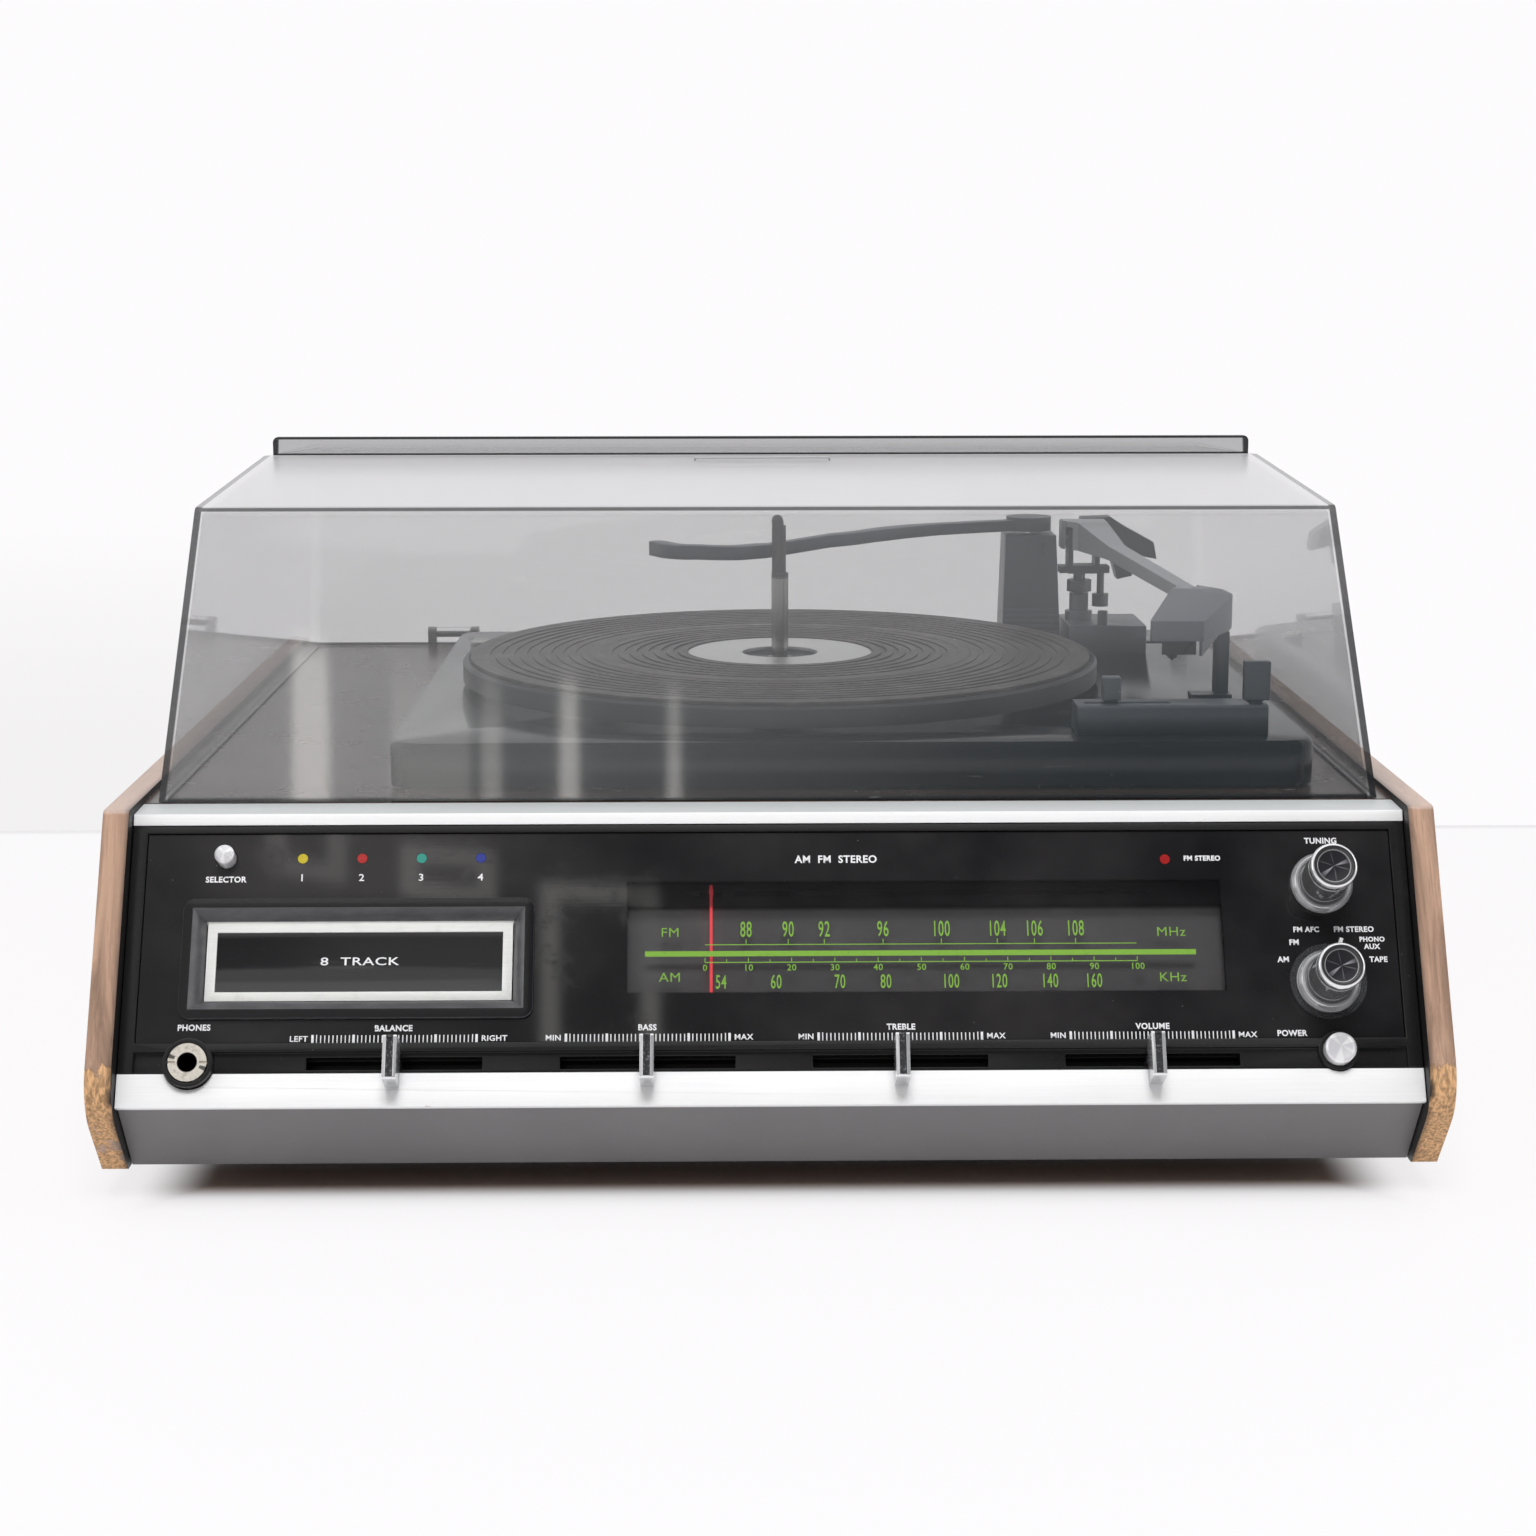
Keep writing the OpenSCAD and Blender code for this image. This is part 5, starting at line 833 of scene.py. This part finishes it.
class STEREO_OT_stage(bpy.types.Operator):
    """Set the pale floor, the soft light and the camera"""
    bl_idname = "stereo.stage"
    bl_label = "Set Stage"

    def execute(self, context):
        context.scene.view_settings.view_transform = "Standard"
        self.make_floor(context.scene.stereo_stage)
        self.make_world(context.scene)
        self.make_lamps()
        self.make_camera(context.scene, context.scene.stereo_stage)
        return {"FINISHED"}

    def make_floor(self, settings):
        """A pale table as far as the wall line, and plain white beyond it."""
        parts = (("table", -FLOOR_REACH, settings.wall_y, self.table_paint(settings)),
                 ("backdrop", settings.wall_y, FLOOR_REACH, self.backdrop_paint()))
        for name, near, far, paint in parts:
            bm = bmesh.new()
            for x, y in ((-FLOOR_REACH, near), (FLOOR_REACH, near), (FLOOR_REACH, far),
                         (-FLOOR_REACH, far)):
                bm.verts.new((x, y, 0))
            bm.faces.new(bm.verts)
            floor = new_mesh(name, bm, paint)

    def table_paint(self, settings):
        f = Finish("table_paint", rough=0.55)
        low, high = cad_box
        mottle = f.grain(0.25)
        scratch = f.grain(0.0012, 3, 0.7, (40, 7, 1)).step(0.735, 0.76)
        # Painted shade: a darker, less whitened band along the wall line, where the floor would
        # meet the wall
        wall_line_shade = f.y.step(settings.wall_y - 0.012, settings.wall_y - 0.004)
        # Painted shade: a warm brown band is painted on the table under the kick panel, for the
        # shadow there warmed by the board's raw front edge
        painted_warm_shade = inside(f.y, low[1] + 0.03, low[1] + 0.055, 0.006) * abs(f.x).step(0.235, 0.21)
        f.paint((0.965, 0.96, 0.965), ((0.945, 0.935, 0.945), mottle),
                ((0.8, 0.78, 0.79), scratch * 0.5), ((0.8, 0.78, 0.79), wall_line_shade * 0.8),
                ((0.5, 0.33, 0.25), painted_warm_shade * 0.8))
        away = (abs(f.x) - high[0]).most(low[1] - f.y)
        return self.whiten(f, WHITE, away.step(-0.036, -0.008) * (0.8 - 0.45 * wall_line_shade))

    def backdrop_paint(self):
        f = Finish("backdrop_paint", rough=0.6).paint((0.95, 0.94, 0.95))
        # Painted shade: the backdrop's near left part is painted a little grey
        corner = f.y.step(2.2, 0.4) * f.x.step(0, -0.35)
        return self.whiten(f, f.colour(WHITE, (0.895, 0.882, 0.888), corner), 1)

    def whiten(self, finish, tone, share):
        """Shows a share of plain white to the camera, mirrors and glass, and none to the object."""
        glow = finish.tree.nodes.new("ShaderNodeEmission")
        finish.feed(glow.inputs["Color"], tone)
        return finish.blend(finish.seen_by("Camera", "Glossy", "Transmission") * share, glow)

    def make_world(self, scene):
        """Soft light all round. Mirrors show white, and in front a dark room with strip lights."""
        scene.world = bpy.data.worlds.new("studio")
        scene.world.use_nodes = True
        f = Nodes(scene.world.node_tree)
        x, y, z = f.split(f.node("ShaderNodeTexCoord", {}, {}, "Generated"))
        forward = (-y).step(0.1, 0.42)
        room = forward * z.step(0.842, 0.806)
        # Lamps of the room, seen in the cover above and, as window frames, in the panel below
        strips = 0
        for left, right, glow in ((-0.157, -0.144, 1), (-0.122, -0.094, 0.35),
                                  (-0.09, -0.083, 0.6), (-0.062, -0.055, 1),
                                  (-0.023, -0.018, 0.8)):
            strips = inside(x, left, right, 0.002) * glow + strips
        strips = strips * inside(z, 0.78, 0.829, 0.006)
        for left, right, low, high, glow in ((-0.069, -0.026, 0.672, 0.7175, 0.62),
                                             (-0.119, -0.085, 0.7105, 0.724, 0.5),
                                             (-0.166, -0.138, 0.712, 0.73, 0.4)):
            outer = inside(x, left, right, 0.0014) * inside(z, low, high, 0.001)
            inner = inside(x, left + 0.0068, right - 0.0068, 0.0014)
            inner = inner * inside(z, low + 0.0042, high - 0.0042, 0.001)
            strips = (outer - inner) * glow + strips
        above = z.step(0.76, 0.8)
        left_tone = f.colour((0.42, 0.41, 0.41), (0.85, 0.86, 0.86), above)
        right_tone = f.colour((0.1, 0.1, 0.105), (0.12, 0.14, 0.15), above)
        dark = f.layers(left_tone, (right_tone, x.step(-0.17, 0.15)),
                        ((3.4, 3.35, 3.2), strips * forward))
        mirrored = f.colour((0.92, 0.92, 0.93), dark, room.most(strips.least(1) * forward))
        soft = f.colour((0.47, 0.472, 0.48), (0.2, 0.197, 0.195), room)
        tint = f.layers(soft, (mirrored, f.seen_by("Glossy", "Transmission")),
                        (WHITE, f.seen_by("Camera")))
        f.feed(f.tree.nodes["Background"].inputs["Color"], tint)

    def make_lamps(self):
        """A broad key lamp above the front lights the faces; mirrors don't show it."""
        lamps = (("key", (0, -1.9, 3), (0, 0, 0.1), (1.3, 1), 72, False),
                 ("overhead", (0, 0, 1.9), (0, 0.05, 0.1), (1.8, 1.1), 3, True),
                 ("left_bank", (-1.9, -0.5, 1), (0, 0, 0.1), (0.7, 1.3), 4, True),
                 ("right_bank", (1.9, -0.5, 1), (0, 0, 0.1), (0.7, 1.3), 4, True))
        for name, place, target, size, power, mirrored in lamps:
            data = bpy.data.lights.new(name, "AREA")
            data.shape = "RECTANGLE"
            data.size, data.size_y = size
            data.energy = power
            lamp = new_object(name, data)
            lamp.location = place
            lamp.visible_glossy = mirrored
            way = Vector(target) - Vector(place)
            lamp.rotation_euler = way.to_track_quat("-Z", "Y").to_euler()

    def make_camera(self, scene, settings):
        data = bpy.data.cameras.new("camera")
        data.sensor_width = 36
        data.lens = settings.lens
        data.clip_start = 0.05
        scene.camera = new_object("camera", data)
        aim = (Matrix.Rotation(-settings.camera_yaw, 4, "Z")
               @ Matrix.Rotation(pi / 2 - settings.camera_pitch, 4, "X")
               @ Matrix.Rotation(settings.camera_roll, 4, "Z"))
        scene.camera.matrix_world = Matrix.Translation(settings.camera_place) @ aim


class STEREO_OT_cabinet(bpy.types.Operator):
    """Finish the wooden sides, the deck, the back, the strips and the kick panel"""
    bl_idname = "stereo.cabinet"
    bl_label = "Finish Cabinet"

    def execute(self, context):
        settings = context.scene.stereo_cabinet
        walnut(settings).on("left_side", "right_side")
        deck_film().on("top_deck")
        board("chipboard", (0.5, 0.36, 0.22), 0.0022).on("base_board")
        board("hardboard", (0.2, 0.115, 0.062), 0.0009).on("back_panel")
        strip_metal().on("trim_strips")
        sheet_paint("kick_paint", settings.kick_grey, 0.48).on("kick_panel")
        rubber("foot_rubber").on("rubber_feet")
        brushed("screw_steel", (0.62, 0.61, 0.58), 0.35).on("screws")
        moulded("phenolic", (0.04, 0.03, 0.024), 0.35).on("rear_fittings")
        soften(0.6, "left_side", "right_side")
        soften(0.35, "trim_strips")
        return {"FINISHED"}


class STEREO_OT_panel(bpy.types.Operator):
    """Finish the black panel and print its words, numbers and scales"""
    bl_idname = "stereo.panel"
    bl_label = "Finish Panel"

    def execute(self, context):
        settings = context.scene.stereo_panel
        white = ink("white_ink", settings.ink_white)
        word = settings.word_height / MM
        frame_moulding().on("front_frame")
        gloss_face().on("dial_face")
        dial_plate_paint().on("dial_plate")
        soften(0.25, "front_frame")
        self.paint_lamps()
        self.print_words(white, word)
        self.print_slider_scales(white, word)
        self.print_dial(settings)
        pointer_paint().on("dial_pointer")
        return {"FINISHED"}

    def paint_lamps(self):
        half = (LAMP_X[1] - LAMP_X[0]) / 2
        second, third, fourth = ((x - half) * MM for x in LAMP_X[1:])
        lens((0.55, 0.44, 0.02), (second, (0.42, 0.02, 0.02)), (third, (0.02, 0.28, 0.22)),
             (fourth, (0.015, 0.03, 0.26)), (0.05, (0.36, 0.015, 0.015))).on("panel_lamps")

    def print_words(self, white, word):
        """The words at the controls, each with its place and size, and the one on the door."""
        words = (
            ("SELECTOR", -189.6, 68.8, 1), ("AM  FM  STEREO", 22.9, 75.3, 1.3),
            ("FM STEREO", 151.2, 75.2, 0.86), ("TUNING", 193.3, 81.4, 1),
            ("FM AFC", 186, 49.2, 0.9), ("FM STEREO", 202.6, 49.2, 0.93),
            ("FM", 181.5, 44.6, 0.95), ("PHONO", 208.7, 45.6, 0.82), ("AUX", 208.5, 43, 0.88),
            ("AM", 177.4, 38.5, 0.95), ("TAPE", 210.4, 38.4, 0.92), ("PHONES", -197.6, 16.1, 1),
            ("BALANCE", -129.5, 15.6, 1), ("BASS", -42.7, 15.5, 1),
            ("TREBLE", 44.3, 15.3, 1), ("VOLUME", 130.8, 15.1, 1), ("POWER", 178.6, 12.4, 1))
        bm = bmesh.new()
        for text, x, s, size in words:
            word_mesh(bm, text, x, s, word * size, 0.98, 0.1)
        for number, x in enumerate(LAMP_X, 1):
            word_mesh(bm, str(number), x, 69.3, 2.6, 1.15, 0.04)
        add_mesh("panel_words", bm, "cabinet", white)
        bm = bmesh.new()
        middle = sum(c.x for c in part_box("tape_door")) / 2 / MM
        word_mesh(bm, "8  TRACK", middle, 40.3, 2.9, 1.5, 0.04, out=DOOR_WORD_OUT)
        add_mesh("door_words", bm, "door", white)

    def print_slider_scales(self, white, word):
        """A row of ticks over each slider, bold at every tenth, between its two end words."""
        bm = bmesh.new()
        ends = [("LEFT", "RIGHT")] + [("MIN", "MAX")] * 3
        row, reach, count, gap = 12, 28, 41, 1.6
        for x, (low, high) in zip(SLIDER_X, ends):
            for i in range(count):
                at = x - reach + 2 * reach * i / (count - 1)
                bold = i % 10 == 0
                outer = i < 2 or i > count - 3
                bar_mesh(bm, at, row, 0.85 if bold else 0.36, 3 if bold or outer else 2.6)
            word_mesh(bm, low, x - reach - gap, row, word * 0.95, 1.05, 0.06, "RIGHT")
            word_mesh(bm, high, x + reach + gap, row, word * 0.95, 1.05, 0.06, "LEFT")
        add_mesh("slider_scales", bm, "cabinet", white)

    def print_dial(self, settings):
        """Two station scales with a plain 0 to 100 scale between them."""
        start = settings.scale_start / MM
        length = settings.scale_length / MM
        number = settings.number_height / MM
        fm = (("88", -8.7), ("90", 5.9), ("92", 18.4), ("96", 38.8), ("100", 59), ("104", 78.4),
              ("106", 91.3), ("108", 105.6))
        am = (("54", -17.4), ("60", 1.6), ("70", 23.6), ("80", 39.5), ("100", 61.9),
              ("120", 78.5), ("140", 96.1), ("160", 111.3))
        bm = bmesh.new()
        for text, x in fm:
            word_mesh(bm, text, x, 49.9, number * 1.22, 0.51, 0.05)
        for text, x in am:
            word_mesh(bm, text, x, 31.2, number * 1.08, 0.54, 0.05)
        for i in range(11):
            at = start + length * i / 10
            word_mesh(bm, str(i * 10), at, 36.4, 2.3, 1, 0.03)
            bar_mesh(bm, at, 39.2, 0.3, 1.6)
            if i < 10:
                bar_mesh(bm, at + length / 20, 39, 0.3, 1)
        for text, x in fm:
            bar_mesh(bm, x, 45.6, 0.3, 2)
        bar_mesh(bm, start + length / 2, 44.7, length, 0.32)
        bar_mesh(bm, start + length / 2, 38.4, length, 0.32)
        bar_mesh(bm, 51.8, 41.5, 190.8, 1.9)
        for text, x, s in (("FM", -35, 49), ("AM", -35, 33), ("MHz", 138.9, 48.6),
                           ("KHz", 138.7, 32.4)):
            word_mesh(bm, text, x, s, 3.4, 1.1, -0.02)
        green = ink("green_ink", settings.ink_green)
        add_mesh("dial_scale", bm, "cabinet", green)


class STEREO_OT_controls(bpy.types.Operator):
    """Finish the knobs, the buttons, the slider handles and the headphone socket"""
    bl_idname = "stereo.controls"
    bl_label = "Finish Controls"

    def execute(self, context):
        tuning = Vector(JOINTS["tuning_turn"]["pos_m"])
        knob_metal("tuning_metal", tuning, False).on("tuning_knob")
        function = Vector(JOINTS["function_turn"]["pos_m"])
        metal = knob_metal("function_metal", function, True)
        metal.on("function_knob")
        # The clear disc has a tab that reaches past the tall knob and shows the index mark
        bm = bmesh.new()
        tab_mesh(bm, function, 0.0131, INDEX_EDGE, -0.00055, 0.00035)
        add_mesh("index_tab", bm, "function", metal)
        for node, radius in (("power_button", 0.0045), ("selector_button", 0.004)):
            low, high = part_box(node)
            button_metal(node + "_metal", (low + high) / 2, radius).on(node)
        for node in ("balance_slider", "bass_slider", "treble_slider", "volume_slider"):
            slider_metal(node).on(node)
            soften(0.2, node)
        socket_metal(JACK).on("headphone_jack")
        works_steel().on("panel_controls")
        moulded("drum_nylon", (0.62, 0.58, 0.48), 0.45).on("tuning_drum")
        soften(0.15, "tuning_knob", "function_knob", "power_button", "selector_button")
        return {"FINISHED"}


class STEREO_OT_tape_player(bpy.types.Operator):
    """Finish the tape bezel, its door and the works behind them"""
    bl_idname = "stereo.tape_player"
    bl_label = "Finish Tape Player"

    def execute(self, context):
        bezel_face().on("tape_bezel")
        door_face().on("tape_door")
        brushed("chassis_steel", (0.6, 0.61, 0.62), 0.34, (8, 1, 1)).on("tape_chassis")
        brushed("flywheel_metal", (0.45, 0.45, 0.46), 0.28).on("flywheel")
        brushed("motor_can", (0.62, 0.62, 0.6), 0.3, (1, 1, 8)).on("tape_motor")
        brushed("turned_brass", (0.74, 0.55, 0.25), 0.22, (1, 1, 8)).on("tape_pulley")
        rubber("belt_rubber", (0.02, 0.02, 0.02), 0.55).on("drive_belt")
        chrome("head_metal", (0.66, 0.66, 0.67), 0.16).on("tape_head")
        soften(0.5, "tape_bezel", segments=3)
        soften(0.25, "tape_door")
        return {"FINISHED"}


class STEREO_OT_changer(bpy.types.Operator):
    """Finish the record changer's plate, platter, arms and levers"""
    bl_idname = "stereo.changer"
    bl_label = "Finish Changer"

    def execute(self, context):
        centre = Vector(JOINTS["platter_spin"]["pos_m"])
        sheet_paint("changer_paint", (0.012, 0.014, 0.017), 0.15, 0.4).on("changer_plate")
        brushed("platter_metal", (0.085, 0.09, 0.095), 0.34).on("platter")
        mat_rubber(centre).on("platter_mat")
        brushed("disc_metal", (0.9, 0.9, 0.89), 0.34).on("centre_disc")
        spindle_metal().on("spindle")
        moulded("overarm_black", (0.06, 0.07, 0.084), 0.34).on("overarm", "overarm_post")
        moulded("base_black", (0.078, 0.09, 0.104), 0.32).on(
            "arm_pedestal", "arm_rest", "control_module", "speed_lever", "start_lever")
        moulded("arm_grey", (0.36, 0.38, 0.4), 0.38).on("tone_arm")
        moulded("shell_grey", (0.15, 0.16, 0.185), 0.3).on("head_shell")
        moulded("pickup_black", (0.016, 0.017, 0.018), 0.3).on("pickup")
        brushed("dark_steel", (0.13, 0.14, 0.15), 0.38).on("counterweight", "arm_gimbal")
        chrome("lift_chrome", (0.7, 0.7, 0.7), 0.14).on("overarm_shaft")
        brushed("motor_steel", (0.42, 0.42, 0.42), 0.4).on("platter_motor")
        brushed("pulley_brass", (0.74, 0.55, 0.25), 0.22).on("motor_pulley")
        rubber("idler_rubber").on("idler_wheel")
        brushed("spring_steel", (0.5, 0.5, 0.52), 0.25).on("changer_springs")
        soften(0.4, "changer_plate", "overarm_post", "head_shell", "control_module",
               "speed_lever", "start_lever", "arm_pedestal", "overarm")
        return {"FINISHED"}


class STEREO_OT_cover(bpy.types.Operator):
    """Finish the smoked cover and its hinges"""
    bl_idname = "stereo.cover"
    bl_label = "Finish Cover"

    def execute(self, context):
        smoked_cover(context.scene.stereo_cover).on("dust_cover")
        brushed("hinge_steel", (0.36, 0.355, 0.35), 0.4).on("hinge_brackets")
        return {"FINISHED"}


class STEREO_OT_works(bpy.types.Operator):
    """Finish the circuit board and the transformer inside"""
    bl_idname = "stereo.works"
    bl_label = "Finish Works"

    def execute(self, context):
        moulded("circuit_laminate", (0.26, 0.16, 0.06), 0.5).on("circuit_board")
        sheet_paint("varnished_core", (0.06, 0.055, 0.055), 0.4).on("power_transformer")
        return {"FINISHED"}


class STEREO_PT_panel(bpy.types.Panel):
    """Lists the steps that dress the stereo centre"""
    bl_label = "Stereo Centre"
    bl_idname = "STEREO_PT_panel"
    bl_space_type = "VIEW_3D"
    bl_region_type = "UI"
    bl_category = "Stereo"

    def draw(self, context):
        for operator in OPERATORS:
            self.layout.operator(operator.bl_idname)
        for group in GROUPS:
            settings = getattr(context.scene, group)
            box = self.layout.box()
            for name in settings.bl_rna.properties.keys():
                if name not in ("rna_type", "name"):
                    box.prop(settings, name)


OPERATORS = (STEREO_OT_stage, STEREO_OT_cabinet, STEREO_OT_panel, STEREO_OT_controls,
             STEREO_OT_tape_player, STEREO_OT_changer, STEREO_OT_cover, STEREO_OT_works)
GROUPS = {"stereo_cabinet": CabinetSettings, "stereo_panel": PanelSettings,
          "stereo_cover": CoverSettings, "stereo_stage": StageSettings}
CLASSES = (*GROUPS.values(), *OPERATORS, STEREO_PT_panel)


def register():
    for made in CLASSES:
        bpy.utils.register_class(made)
    for name, group in GROUPS.items():
        setattr(bpy.types.Scene, name, bpy.props.PointerProperty(type=group))


def unregister():
    for name in GROUPS:
        delattr(bpy.types.Scene, name)
    for made in reversed(CLASSES):
        bpy.utils.unregister_class(made)


def main():
    register()
    for operator in OPERATORS:
        category, name = operator.bl_idname.split(".")
        getattr(getattr(bpy.ops, category), name)()


if __name__ == "__main__":
    main()
